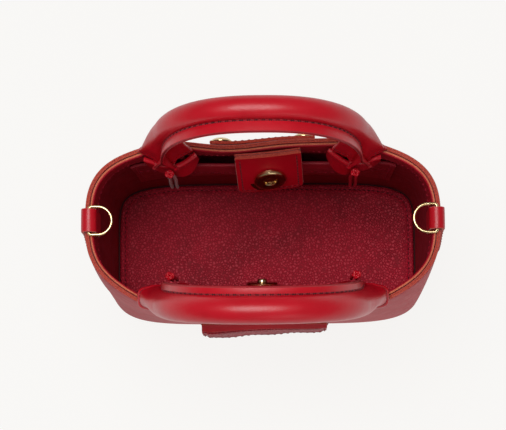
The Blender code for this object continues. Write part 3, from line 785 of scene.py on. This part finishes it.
def foot_loop(inset, z):
    """The whole outline of the body at its foot, moved inwards."""
    back = wall_line(WALL_FOOT, inset, 1, relaxed=False)
    front = back[::-1] * np.array((1.0, -1.0, 1.0))
    loop = np.concatenate([back[:-1], front[:-1]])
    loop[:, 2] = z
    return loop


def refinish(node, look):
    """A CAD piece that is shown as it is gets a look."""
    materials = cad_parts[node].data.materials
    materials.clear()
    materials.append(look)


def build_base():
    refinish("base_board", BOARD)
    profile = [(0.020, 0.0026, 0), (0.0006, 0.0026, 0), (0.0, 0.0022, 1), (0.0, 0.0006, 1), (0.0005, 0.0, 0),
               (0.006, 0.0, 0), (0.020, 0.0, 0)]
    rings = [foot_loop(inset, z) for inset, z, _ in profile]
    indices = np.repeat([material for _, _, material in profile[:-1]], len(rings[0]))
    piece = loft("base_sole", rings, (PEBBLED, RAW_EDGE), indices, caps=[0, 0])
    keep(piece, "bag", "pebbled_leather", "bottom_panel")
    build_insert()


INSERT_LOW = 0.0047
INSERT_HIGH = 0.0081
INSERT_INSET = 0.0046


def build_insert():
    """The soft plate on the bag's floor, with a raised sewn border and a slightly uneven middle."""
    steps = [(0.0, -0.0022), (0.0002, -0.0012), (0.0008, -0.0003), (0.0016, 0.0), (0.0024, -0.0001),
             (0.0031, -0.0006), (0.0036, -0.0007), (0.0041, -0.0004), (0.0052, -0.0001), (0.0070, 0.0),
             (0.0090, 0.0), (0.0110, 0.0)]
    rings = [foot_loop(INSERT_INSET + inset, INSERT_HIGH + rise) for inset, rise in steps]
    for share in np.linspace(0.06, 0.98, 20):
        rings.append(rings[len(steps) - 1] * np.array((1 - 0.45 * share, 1 - share, 1.0)))
    for index, ring in enumerate(rings):
        soft = smooth((index - 7) / 6)
        swell = np.sin(52 * ring[:, 0] + 1) * np.sin(61 * ring[:, 1] + 0.4)
        ring[:, 2] += 0.00035 * soft * (swell - 0.4) - 0.0005 * soft
    under = [foot_loop(INSERT_INSET + inset, INSERT_LOW) for inset in (0.012, 0.0010)]
    lower = foot_loop(INSERT_INSET + 0.0002, INSERT_LOW + 0.0008)
    piece = loft("floor_insert", under + [lower] + rings, [PEBBLED])
    keep(piece, "bag", "pebbled_leather", "base_insert")
    seam = foot_loop(INSERT_INSET + 0.0034, INSERT_HIGH - 0.0006)
    seam = np.concatenate([seam, seam[:1]])
    up = np.tile((0.0, 0.0, 1.0), (len(seam), 1))
    keep(stitches("floor_insert_seam", along(seam, up, 0.0031), BRIGHT_SEWN, 0.0019, 0.00036), "bag",
         "pebbled_leather")


# ---------------------------------------------------------------- pockets and rear trim

# Places across the outer pocket from end to end, closer together near its ends
ACROSS = 1.5 * np.linspace(-1, 1, 61) - 0.5 * np.linspace(-1, 1, 61) ** 3


def build_slip_pocket():
    face = PANEL + GAP + LINING + GAP

    def point(z, across):
        share = (z - SLIP_BOTTOM) / (SLIP_TOP - SLIP_BOTTOM)
        x = SLIP_HALF_WIDTH * across
        belly = SLIP_DEPTH * smooth(2.6 * (1 - abs(across))) * smooth(0.15 + 0.85 * share)
        belly *= 1 - 0.22 * share ** 3 + 0.26 * math.sin(math.pi * share) + 0.03 * math.sin(5 * across)
        dip = (0.0016 * (1 - across * across) + 0.0030 * across ** 10) * smooth((share - 0.7) / 0.3)
        return x, wall_y(x, z, face) - (belly if share > 0.02 else 0.0) - STRAP / 2, z - dip

    grid = settle(grid_of(levels(SLIP_BOTTOM, SLIP_TOP, 26), np.linspace(-1, 1, 61), point))
    inwards = (0.0, -1.0, 0.0)
    # The pocket's cut edge takes the darker lining leather: painted shade, so that its top edge does not show up
    # lit at the ends.
    piece = slab("phone_pocket", grid, STRAP, (INNER_LEATHER, LINING_LOOK, LINING_LOOK), inwards)
    keep(piece, "bag", "lining", "slip_pocket")
    for label, start, end in (("hem", (17, 0), (17, 60)), ("left", (0, 1), (26, 1)), ("right", (0, 59), (26, 59))):
        sewn = seam_on("phone_pocket_" + label, grid, inwards, grid_path(start, end), 0.0040, 0.0026, BRIGHT_SEWN,
                       ends=0.002)
        keep(sewn, "bag", "lining")


def pouch_offset(x, z):
    """How far the filled pocket stands off the wall: most on its left, least on its right."""
    across = min(abs(x) / POUCH_HALF_WIDTH, 1.0)
    rise = min((z - POUCH_BOTTOM) / (POUCH_TOP - POUCH_BOTTOM), 1.0)
    filled = POUCH_FILLED * (1 - 0.42 * x / POUCH_HALF_WIDTH)
    return GAP + POUCH_DEPTH * filled * float(smooth(7.0 * (1 - across)) * smooth(3.0 * rise))


def build_front_pouch():
    outwards = (0.0, -1.0, 0.0)

    def point(z, across):
        x = POUCH_HALF_WIDTH * across
        return x, -wall_y(x, z) - pouch_offset(x, z) - STRAP / 2, z

    grid = settle(grid_of(levels(POUCH_BOTTOM, POUCH_TOP, 24), ACROSS, point))
    keep(slab("outer_pocket", grid, STRAP, CUT_LEATHER, outwards), "bag", "smooth_leather", "front_pocket")
    border = grid_path((23, 3), (1, 3), (1, 57), (23, 57))
    keep(seam_on("outer_pocket_seam", grid, outwards, border), "bag", "smooth_leather")

    grid = flap_grid(1.0, 0.0)
    piece = slab("outer_pocket_flap", grid, STRAP, (SOFT_PEBBLED, LEATHER, SUEDE), outwards)
    fold(piece, "pebbled_leather", "front_pocket_flap")
    border = grid_path((6, 4), (23, 4), (23, 56), (6, 56))
    fold(seam_on("outer_pocket_flap_seam", grid, outwards, border), "pebbled_leather")
    grid = flap_grid(0.075, STRAP)
    fold(slab("outer_pocket_flap_yoke", grid, STRAP * 0.8, CUT_LEATHER, outwards), "smooth_leather")


def fold(piece, slot, *nodes):
    """The piece's placement is baked into its mesh, and the CAD nodes it stands for are hidden."""
    if nodes:
        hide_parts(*nodes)
    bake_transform(piece)


def flap_grid(drop, lift):
    """Middle surface of the flap's leather, or of the shorter yoke that lies on its upper part."""
    def point(share, across):
        z = mix(FLAP_HINGE_Z, FLAP_END_Z, share)
        cover = smooth((FLAP_HINGE_Z - z) / (FLAP_HINGE_Z - POUCH_TOP - 0.0025))
        x = FLAP_HALF_WIDTH * across
        off = pouch_offset(max(-FLAP_FULL, min(FLAP_FULL, x)), z) + STRAP + 2 * GAP + 0.6 * lift * share
        wrinkle = 0.0003 * math.sin(9 * across + 7 * share) * share
        y = -wall_y(x, z) - mix(3 * GAP, off, cover) - STRAP / 2 - lift - 0.0003 - wrinkle
        return x, y, z + 0.004 * abs(across) ** 10 * share

    return settle(grid_of(np.linspace(0, drop, 26), ACROSS, point))


def build_rear_band():
    backwards = (0.0, 1.0, 0.0)
    grid = settle(grid_of(levels(BAND_LOW, BAND_HIGH, 8), np.linspace(-BAND_HALF_WIDTH, BAND_HALF_WIDTH, 41),
                          lambda z, x: (x, wall_y(x, z) + 2 * GAP + STRAP / 2, z)))
    keep(slab("rear_strap", grid, STRAP, CUT_LEATHER, backwards), "bag", "smooth_leather", "rear_band")
    for label, row in (("low", 1), ("high", 7)):
        sewn = seam_on("rear_strap_seam_" + label, grid, backwards, grid_path((row, 0), (row, 40)))
        keep(sewn, "bag", "smooth_leather")
    middle = (BAND_LOW + BAND_HIGH) / 2
    dome = [(0.0004, 0.0026), (0.0016, 0.00255), (0.0030, 0.0023), (0.0042, 0.0019), (0.0051, 0.0014),
            (0.0058, 0.0010), (STUD_RADIUS, 0.0006), (STUD_RADIUS, 0.0001), (0.0004, 0.0001)]
    for hand, turn in HANDS.items():
        x = turn * STUD_X
        spot = settle(np.array((x, wall_y(x, middle) + 2 * GAP + STRAP, middle)))
        place = Matrix.Translation(spot) @ Matrix.Rotation(math.radians(-90), 4, "X")
        keep(turned("rear_cap_" + hand, dome, [BRASS], place), "bag", "gold_brass", "rear_stud_" + hand)


# ---------------------------------------------------------------- handles

# The handle's ends: below the root, towards the bag, and the heights between which they bend
LIP_DROP = 0.0045
FOOT_BEND = 0.0028

# The sewn flange: start, width, share of the width left at the ends, slant, gap and curl there
SEAM_ROOTS = {"front": 0.0076, "back": 0.0058}
SEAM_REACHES = {"front": 0.0046, "back": 0.0070}
SEAM_ENDS = {"front": 0.20, "back": 0.50}
SEAM_TILTS = {"front": 0.02, "back": 0.16}
SEAM_SPLAYS = {"front": 0.0010, "back": 0.0032}
SEAM_CURLS = {"front": 0.0006, "back": 0.0032}
# How far the lip's inner side reaches down, and the distances from the lip at which the ends are drawn
TONGUES = {"front": 0.0015, "back": 0.0046}
END_STEPS = (0.0, 0.0004, 0.0010, 0.0017, 0.0023, 0.0028, 0.0032, 0.0037, 0.0045, 0.0056, 0.0070, 0.0086, 0.0104,
             0.0124, 0.0146, 0.0170, 0.0195, 0.0222, 0.0250, 0.0280, 0.0310)


def handle_frames(place, side, steps=None):
    """Points along the handle, the directions inwards and outwards of the arch, and the way to the lip."""
    angle = np.linspace(math.pi, 0, 3001)
    share = np.abs(np.sin(angle)) ** (2 / HANDLE_SQUARENESS)
    cosine = np.cos(angle)
    lean = HANDLE_LEANS[place]
    x = HANDLE_HALF_SPAN * np.sign(cosine) * np.abs(cosine) ** (2 / HANDLE_SQUARENESS)
    line = np.stack([x, side * (HANDLE_ROOT_Y + lean * share), HANDLE_ROOT_Z + HANDLE_RISE * share], 1)
    foot = np.array((0.0, 0.0, -LIP_DROP))
    line = np.concatenate([[line[0] + foot], line, [line[-1] + foot]])
    line[:, 1] -= side * FOOT_BEND * smooth((HANDLE_ROOT_Z + 0.024 - line[:, 2]) / 0.026)
    total = length_of(line)
    if steps is None:
        body = np.linspace(END_STEPS[-1], total - END_STEPS[-1], 84)[1:-1]
        steps = np.concatenate([END_STEPS, body, [total - s for s in END_STEPS[::-1]]])
    steps = np.array(steps, float)
    points = respaced(line, steps)
    ahead, behind = np.minimum(steps + 0.0015, total), np.maximum(steps - 0.0015, 0)
    tangent = unit(respaced(line, ahead) - respaced(line, behind))
    inward = unit(np.array((0.0, -side * HANDLE_RISE, lean)))
    outward = unit(-side * np.cross(tangent, inward))
    to_end = np.minimum(steps, total - steps)
    down = tangent * np.where(steps < total / 2, -1.0, 1.0)[:, None]
    return points, np.tile(inward, (len(points), 1)), outward, tangent, down, to_end, total


def tube_shape(to_end):
    """Half sizes of the rolled tube at a distance from its lip: inwards, outwards, sideways; and its opening."""
    flare = float(smooth(1 - (to_end - 0.0010) / (BELL_LENGTH + 0.002)))
    widening = max(0.0, 1 - to_end / 0.034) ** 1.25
    opening = float(smooth(1 - to_end / 0.0165))
    hem = 0.0006 * math.exp(-((to_end - 0.0013) / 0.0011) ** 2)
    hem -= 0.0004 * math.exp(-((to_end - 0.0033) / 0.0006) ** 2)
    skirt = 0.0014 * float(smooth(1 - to_end / 0.0095))
    inner = mix(HANDLE_RADIUS, 0.0048, flare) + skirt + hem
    outer = mix(HANDLE_RADIUS, BELL_HALF_DEPTH - 0.0014, flare) + hem
    return inner, outer, mix(HANDLE_RADIUS, BELL_HALF_WIDTH, widening) + hem, flare, opening


def tube_point(place, to_end, angle, shrink=0.0):
    """One point of the tube's outline as (inwards, sideways)."""
    inner, outer, width, _, opening = tube_shape(to_end)
    cosine, sine = math.cos(angle), math.sin(angle)
    sideways = (width - shrink) * sine
    if place == "front":
        blunt = mix(1.0, 0.50, opening)
        outer += 0.0016 * opening
        sideways = (width - shrink) * math.copysign(abs(sine) ** blunt, sine)
        return ((inner if cosine > 0 else outer) - shrink) * math.copysign(abs(cosine) ** blunt, cosine), sideways
    if cosine < 0:
        return (outer - shrink) * cosine, sideways
    return (inner - shrink) * mix(cosine, 1 - abs(sine) ** 1.3, opening), sideways


def seam_shape(place, to_end):
    """Where the handle's seam starts, how far it reaches, how far its layers part and curl, and its tilt."""
    inner, _, _, flare, opening = tube_shape(to_end)
    root = mix(SEAM_ROOTS[place], inner + 0.0006, flare)
    reach = SEAM_REACHES[place] * mix(1.0, SEAM_ENDS[place], float(smooth(1 - to_end / 0.026)))
    apart = 0.00095 + SEAM_SPLAYS[place] * opening
    return root, reach, apart, SEAM_CURLS[place] * opening, SEAM_TILTS[place] * (1 - opening), opening


def cover_section(place, to_end):
    """The rolled leather's outline as (inwards, sideways, material), with the seam's two layers."""
    flare = tube_shape(to_end)[3]
    root, reach, apart, curl, tilt, opening = seam_shape(place, to_end)
    start = math.radians(mix(50, 26, flare))
    ring = [(*tube_point(place, to_end, a), 0) for a in np.linspace(start, 2 * math.pi - start, 44)]
    slit = mix(reach - 0.0007, -0.0016, opening)

    def layer(turn):
        """From the tip of one layer to its root and on to the tube."""
        first = ring[-1] if turn < 0 else ring[0]
        tip = reach + (0.0006 if turn < 0 else 0.0)
        points = [(root + tip * 0.94, turn * (apart * 0.67 + curl), 1),
                  (root + tip, turn * (apart * 0.55 + curl), 1),
                  (root + tip - 0.0004, turn * (apart + curl), 0),
                  (root + tip * 0.6, turn * (apart * 1.12 + curl * 0.45), 0),
                  (root + tip * 0.28, turn * (apart * 1.04 + curl * 0.10), 0), (root, turn * apart * 0.84, 0)]
        for share in (0.30, 0.62):
            u = mix(root - 0.0003, first[0], share ** 1.5)
            points.append((u + 0.0006 * math.sin(math.pi * share), mix(turn * apart, first[1], share), 0))
        return [(u, v + tilt * max(0.0, u - root), material) for u, v, material in points]

    notch = (root + slit, tilt * max(0.0, slit), 1)
    return ring + layer(-1)[::-1] + [notch] + layer(1)


def section_ring(place, frames, index):
    """The cover's outline in space at one place along the handle."""
    points, inward, outward, _, down, to_end, _ = frames
    opening = float(smooth(1 - to_end[index] / 0.011))
    ring = []
    for u, v, _ in cover_section(place, float(to_end[index])):
        tongue = TONGUES[place] * opening * math.exp(-(v / 0.0062) ** 2) * float(smooth(u / 0.004))
        ring.append(points[index] + inward[index] * u + outward[index] * v + down[index] * tongue)
    return np.array(ring)


def tube_ring(place, frames, index, angles, shrink):
    """The tube's outline in space at one place along the handle, smaller by shrink."""
    points, inward, outward, _, _, to_end, _ = frames
    spots = np.array([tube_point(place, float(to_end[index]), angle, shrink) for angle in angles])
    return points[index] + np.outer(spots[:, 0], inward[index]) + np.outer(spots[:, 1], outward[index])


def build_handle(place, side):
    frames = handle_frames(place, side)
    last = len(frames[0]) - 1
    section = cover_section(place, 0.0)
    angles = [math.atan2(v / BELL_HALF_WIDTH, u / BELL_HALF_DEPTH) for u, v, _ in section]
    start, end = ([tube_ring(place, frames, index, angles, HANDLE_WALL) for index in order]
                  for order in ((9, 5, 0), (last, last - 5, last - 9)))
    rings = start + [section_ring(place, frames, index) for index in range(last + 1)] + end
    chosen = []
    for row in range(len(rings) - 1):
        lip = min(row, len(rings) - 2 - row)
        chosen += [2 if lip < 2 else 1 if lip == 2 else material for _, _, material in section]
    cover = loft(f"{place}_handle_cover", rings, HANDLE_LEATHER, chosen, caps=[2, 2])
    flex(cover, place, side, "smooth_leather", "handle_cover_" + place)
    build_handle_core(place, side, frames)
    build_handle_stitches(place, side)


def flex(piece, place, side, slot, *nodes):
    """The piece's placement is baked into its mesh, and the CAD nodes it stands for are hidden."""
    if nodes:
        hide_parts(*nodes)
    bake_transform(piece)


def build_handle_core(place, side, frames):
    angles = np.linspace(0, 2 * math.pi, 24, endpoint=False)
    rings = [tube_ring(place, frames, index, angles, HANDLE_WALL + 0.0009)
             for index, distance in enumerate(frames[5]) if distance > 0.0100]
    core = loft(f"{place}_handle_core", rings, [FILLER])
    flex(core, place, side, "filler", "handle_core_" + place)


def build_handle_stitches(place, side):
    total = handle_frames(place, side)[-1]
    clear = 0.0135
    count = int((total - 2 * clear) / 0.0038)
    steps = clear + (total - 2 * clear) * (np.arange(count) + 0.5) / count
    points, inward, outward, tangent, _, to_end, _ = handle_frames(place, side, steps)
    places = []
    for index in range(count):
        root, _, apart, _, tilt, _ = seam_shape(place, float(to_end[index]))
        for layer in (1, -1):
            centre = points[index] + inward[index] * (root + 0.0007)
            centre = centre + outward[index] * (layer * apart + tilt * 0.0007)
            places.append((centre, tangent[index], outward[index] * layer))
    flex(stitches(f"{place}_handle_seam", places, SEWN, 0.0023, 0.00050), place, side, "smooth_leather")
    places = []
    for spot in (0.0033, total - 0.0033):
        frames = handle_frames(place, side, [spot - 0.0004, spot, spot + 0.0004])
        before, ring, after = (section_ring(place, frames, index)[1:43] for index in range(3))
        away = unit(np.cross(np.gradient(ring, axis=0), after - before))
        if (away * (ring - frames[0][1])).sum() < 0:
            away = -away
        places += along(ring, away, 0.0024)
    flex(stitches(f"{place}_handle_hem", places, SEWN, 0.0016, 0.00042), place, side, "smooth_leather")


# ---------------------------------------------------------------- handle fixings

def build_root(place, side, hand, turn):
    """The flat tongue that holds one end of the handle, from the facing up into the bell."""
    face = PANEL + FACING + 3 * GAP + 0.0012

    def point(z, across):
        up = float(smooth((z - 0.150) / 0.014))
        x = turn * FIXING_X + ANCHOR_HALF_WIDTH * across + turn * 0.0016 * up
        return x, side * mix(wall_y(x, min(z, RIM_HEIGHT), face), HANDLE_ROOT_Y - 0.0012, up * 0.9), z

    grid = settle(grid_of(np.linspace(ANCHOR_BOTTOM, ANCHOR_TOP, 30), np.linspace(-1, 1, 13), point))
    piece = slab(f"handle_root_{place}_{hand}", grid, ANCHOR_THICKNESS, CUT_LEATHER, (0.0, -side, 0.0))
    flex(piece, place, side, "smooth_leather", f"handle_anchor_{place}_{hand}")


def build_collar(place, side, hand, turn):
    """A folded leather band that stands off the wall as a V around one handle end."""
    face = PANEL + FACING + 3 * GAP
    steps = np.linspace(-1, 1, 61)
    plan = []
    for step in steps:
        share = abs(step)
        x = turn * FIXING_X + step * COLLAR_HALF_WIDTH
        root = wall_y(x, COLLAR_TOP, face) - 0.0006
        soft = math.sqrt(share ** 2 + 0.0030) - math.sqrt(0.0030)
        bow = -0.0010 * math.sin(math.pi * share)
        plan.append((x, side * (mix(COLLAR_VERTEX_Y, root, min(1.0, soft * 1.04) ** 1.10) + bow)))
    plan = np.array(plan)
    run = unit(np.gradient(plan, axis=0))
    normal = np.stack([run[:, 1], -run[:, 0]], 1) * side
    drop = COLLAR_TOP - COLLAR_BOTTOM
    section = [(-0.0003, 0.0032), (-0.0007, 0.0022), (-0.0006, 0.0010), (-0.0001, 0.0001), (0.0008, -0.0003),
               (0.0017, 0.0001), (0.0023, 0.0010), (0.0023, 0.0021), (0.0019, 0.0034), (0.0018, 0.0060),
               (0.0020, 0.0095), (0.0021, 0.0130), (0.0020, 0.0160), (0.0019, drop - 0.0005), (0.0014, drop),
               (0.0007, drop), (0.0002, drop - 0.0005), (0.0001, 0.0160), (0.0002, 0.0130), (0.0001, 0.0095),
               (0.0000, 0.0060)]
    materials = [0] * 13 + [1] * 3 + [2] * 5

    def point(index, spot):
        step, share, (out, down) = steps[index], abs(steps[index]), spot
        reach = 0.0016 if step * turn > 0 else 0.0048
        slope = reach * math.sin(math.pi * min(1.0, 0.12 + 0.80 * share))
        pinch = 0.62 + 0.38 * float(smooth(share / 0.30))
        rise = 0.0012 * share + 0.0005 * math.sin(9 * step + turn)
        x, y = plan[index] + normal[index] * (out * pinch + slope * (max(0.0, down) / drop) ** 1.3)
        return x, y, COLLAR_TOP - down * (1 - 0.27 * share ** 2) + rise - 0.0004

    grid = settle(grid_of(range(len(steps)), section, point))
    piece = loft(f"collar_{place}_{hand}", grid, CUT_LEATHER, materials)
    keep(piece, "bag", "smooth_leather", f"handle_collar_{place}_{hand}")


# ---------------------------------------------------------------- rings and their tabs

def build_ring(hand, turn):
    bar = RIM_HALF_WIDTH - (PANEL + GAP + FACING) / 2
    centre = np.array((turn * bar, END_SET_BACK, RIM_HEIGHT + GAP + RING_WIRE))
    corner = RING_CORNER
    bend = [(corner - corner * math.cos(angle), RING_HALF_WIDTH - corner + corner * math.sin(angle))
            for angle in np.linspace(0, math.pi / 2, 6)[1:]]
    points = [(0.0, y) for y in np.linspace(-RING_HALF_WIDTH + corner, RING_HALF_WIDTH - corner, 9)] + bend
    points += [(RING_ARM + RING_HALF_WIDTH * math.cos(angle), RING_HALF_WIDTH * math.sin(angle))
               for angle in np.linspace(math.pi / 2, -math.pi / 2, 37)]
    points += [(x, -y) for x, y in bend[::-1]]
    path = [centre + np.array((-turn * x, y, 0.0)) for x, y in points]
    ring = ring_tube("ring_" + hand, path, RING_WIRE, [BRASS], 16)
    keep(ring, "ring_" + hand, "gold_brass", "d_ring_" + hand)


def build_ring_tab(hand, turn):
    """A leather loop over the rim and the ring's bar, with a broad sewn foot on the outside."""
    span = (PANEL + GAP + FACING) / 2 + GAP + STRAP / 2
    path = [(-span, z) for z in np.linspace(TAB_INNER_BOTTOM, TAB_STRAIGHT_TOP + 0.008, 10)]
    for angle in np.linspace(math.pi, 0, 25)[1:-1]:
        path.append((span * math.cos(angle), RIM_HEIGHT + 0.0008 + span * math.sin(angle)))
    path += [(span, z) for z in np.linspace(TAB_STRAIGHT_TOP + 0.008, TAB_OUTER_BOTTOM, 34)]
    middle = (PANEL + GAP + FACING) / 2

    def point(spot, share):
        across, z = spot
        half = TAB_HALF_WIDTH
        if across == span:
            foot = smooth((TAB_STRAIGHT_TOP - z) / 0.026)
            below = max(0.0, (TAB_OUTER_BOTTOM + 0.0140 - z) / 0.0145)
            half = mix(TAB_HALF_WIDTH, TAB_FOOT_HALF_WIDTH, foot) * math.sqrt(1 - below ** 2)
        y = half * share
        return turn * (wall_x(y, min(z, RIM_HEIGHT)) - middle + across), y, z

    grid = settle(grid_of(path, np.linspace(-1, 1, 15), point))
    outwards, outside = (turn, 0.0, 0.0), (50, 7)
    piece = slab("ring_loop_" + hand, grid, STRAP, CUT_LEATHER, outwards, outside)
    keep(piece, "bag", "smooth_leather", "ring_tab_" + hand)
    border = grid_path((36, 1), (62, 1), (63, 2), (63, 12), (62, 13), (36, 13))
    sewn = seam_on("ring_loop_seam_" + hand, grid, outwards, border, 0.0034, 0.0022, at=outside)
    keep(sewn, "bag", "smooth_leather")


# ---------------------------------------------------------------- magnetic closure

# Profiles of the snap's halves as (radius, height), and how each tab is shifted, stands off and turns
SOCKET = ((0.0003, 0.0009), (0.0030, 0.0009), (0.0034, 0.0011), (0.0036, 0.0021), (0.0040, 0.0025),
          (0.0050, 0.0026), (0.0078, 0.0026), (0.0086, 0.0024), (0.0092, 0.0019), (SNAP_RADIUS, 0.0013),
          (SNAP_RADIUS, 0.0003), (0.0090, 0.0), (0.0003, 0.0))
STUD = ((0.0003, 0.0036), (0.0016, 0.0036), (0.0023, 0.0034), (0.0027, 0.0029), (0.0028, 0.0018), (0.0031, 0.0015),
        (0.0078, 0.0015), (0.0085, 0.0013), (0.0090, 0.0009), (0.0090, 0.0003), (0.0087, 0.0), (0.0003, 0.0))
CLOSURE_SWAYS = {"back": (0.0032, 0.0010, math.radians(5.5)), "front": (-0.0008, 0.0008, 0.0)}


def closure_place(place, side):
    root = wall_y(0.0, CLOSURE_HINGE_Z, PANEL + FACING + 4 * GAP)
    stack = CLOSURE_FACE + CLOSURE_LINER + CLOSURE_SPACE
    shift, stand_off, twist = CLOSURE_SWAYS[place]
    where = Matrix.Translation((shift, side * (root - stack / 2 - stand_off), CLOSURE_HINGE_Z))
    turn = Matrix.Rotation(twist + (0.0 if side > 0 else math.pi), 4, "Z")
    return where @ turn @ Matrix.Rotation(math.pi / 2 - CLOSURE_TILTS[place], 4, "X"), stack


def leaf_grid(height, matrix, inset=0.0):
    """Middle surface of one layer of a closure tab, with rounded lower corners."""
    def point(down, share):
        short = max(0.0, down - (CLOSURE_LENGTH - CLOSURE_CORNER))
        corner = CLOSURE_CORNER - math.sqrt(max(0.0, CLOSURE_CORNER ** 2 - short ** 2))
        cup = 0.0009 * math.sin(math.pi * min(1.0, down / CLOSURE_LENGTH)) - 0.0006 * share * share
        return (CLOSURE_HALF_WIDTH - inset - corner * 0.9) * share, -down, height + cup

    downs = np.linspace(-0.0016, CLOSURE_LENGTH - inset, 30)
    return moved_by(matrix, grid_of(downs, np.linspace(-1, 1, 31), point))


def build_closure(place, side, profile, snap_node):
    matrix, stack = closure_place(place, side)
    body = "closure_" + place
    outward = np.array(matrix)[:3, 2]
    face = leaf_grid(stack / 2 - CLOSURE_FACE / 2, matrix)
    piece = slab(f"{place}_closure_face", face, CLOSURE_FACE, CUT_LEATHER, outward)
    keep(piece, body, "smooth_leather", place + "_tab")
    back = leaf_grid(-stack / 2 + CLOSURE_LINER / 2, matrix)
    piece = slab(f"{place}_closure_back", back, CLOSURE_LINER, (LINING_LOOK, RAW_EDGE, SUEDE), -outward)
    keep(piece, body, "lining", place + "_tab_lining")
    middle = leaf_grid(0.0, matrix, 0.0006)
    piece = slab(f"{place}_closure_glue", middle, CLOSURE_SPACE * 0.8, (SUEDE, RAW_EDGE), outward)
    keep(piece, body, "smooth_leather")
    border = grid_path((1, 2), (27, 2), (27, 28), (1, 28))
    sewn = seam_on(f"{place}_closure_seam", face, outward, border, 0.0031, 0.0020, lift=CLOSURE_FACE / 2,
                   ends=0.0005)
    keep(sewn, body, "smooth_leather")
    spot = matrix @ Matrix.Translation((0.0, -SNAP_AT, stack / 2 + GAP + 0.0010))
    keep(turned(f"{place}_snap", profile, [BRASS], spot), body, "gold_brass", snap_node)
    refinish(place + "_snap_backing", BRASS)


# ---------------------------------------------------------------- putting it together

build_camera()
for place, side in SIDES.items():
    for hand, turn in HANDS.items():
        label = place + "_" + hand
        for strand, apart in (("a", -1), ("b", 1)):
            build_tail(label, turn, side, strand, apart)
        build_knot(label, turn, side)
build_studio()
build_walls()
build_base()
build_slip_pocket()
build_front_pouch()
build_rear_band()
for place, side in SIDES.items():
    build_handle(place, side)
    for hand, turn in HANDS.items():
        build_root(place, side, hand, turn)
        build_collar(place, side, hand, turn)
for hand, turn in HANDS.items():
    build_ring(hand, turn)
    build_ring_tab(hand, turn)
build_closure("back", 1, SOCKET, "back_snap_socket")
build_closure("front", -1, STUD, "front_snap_stud")
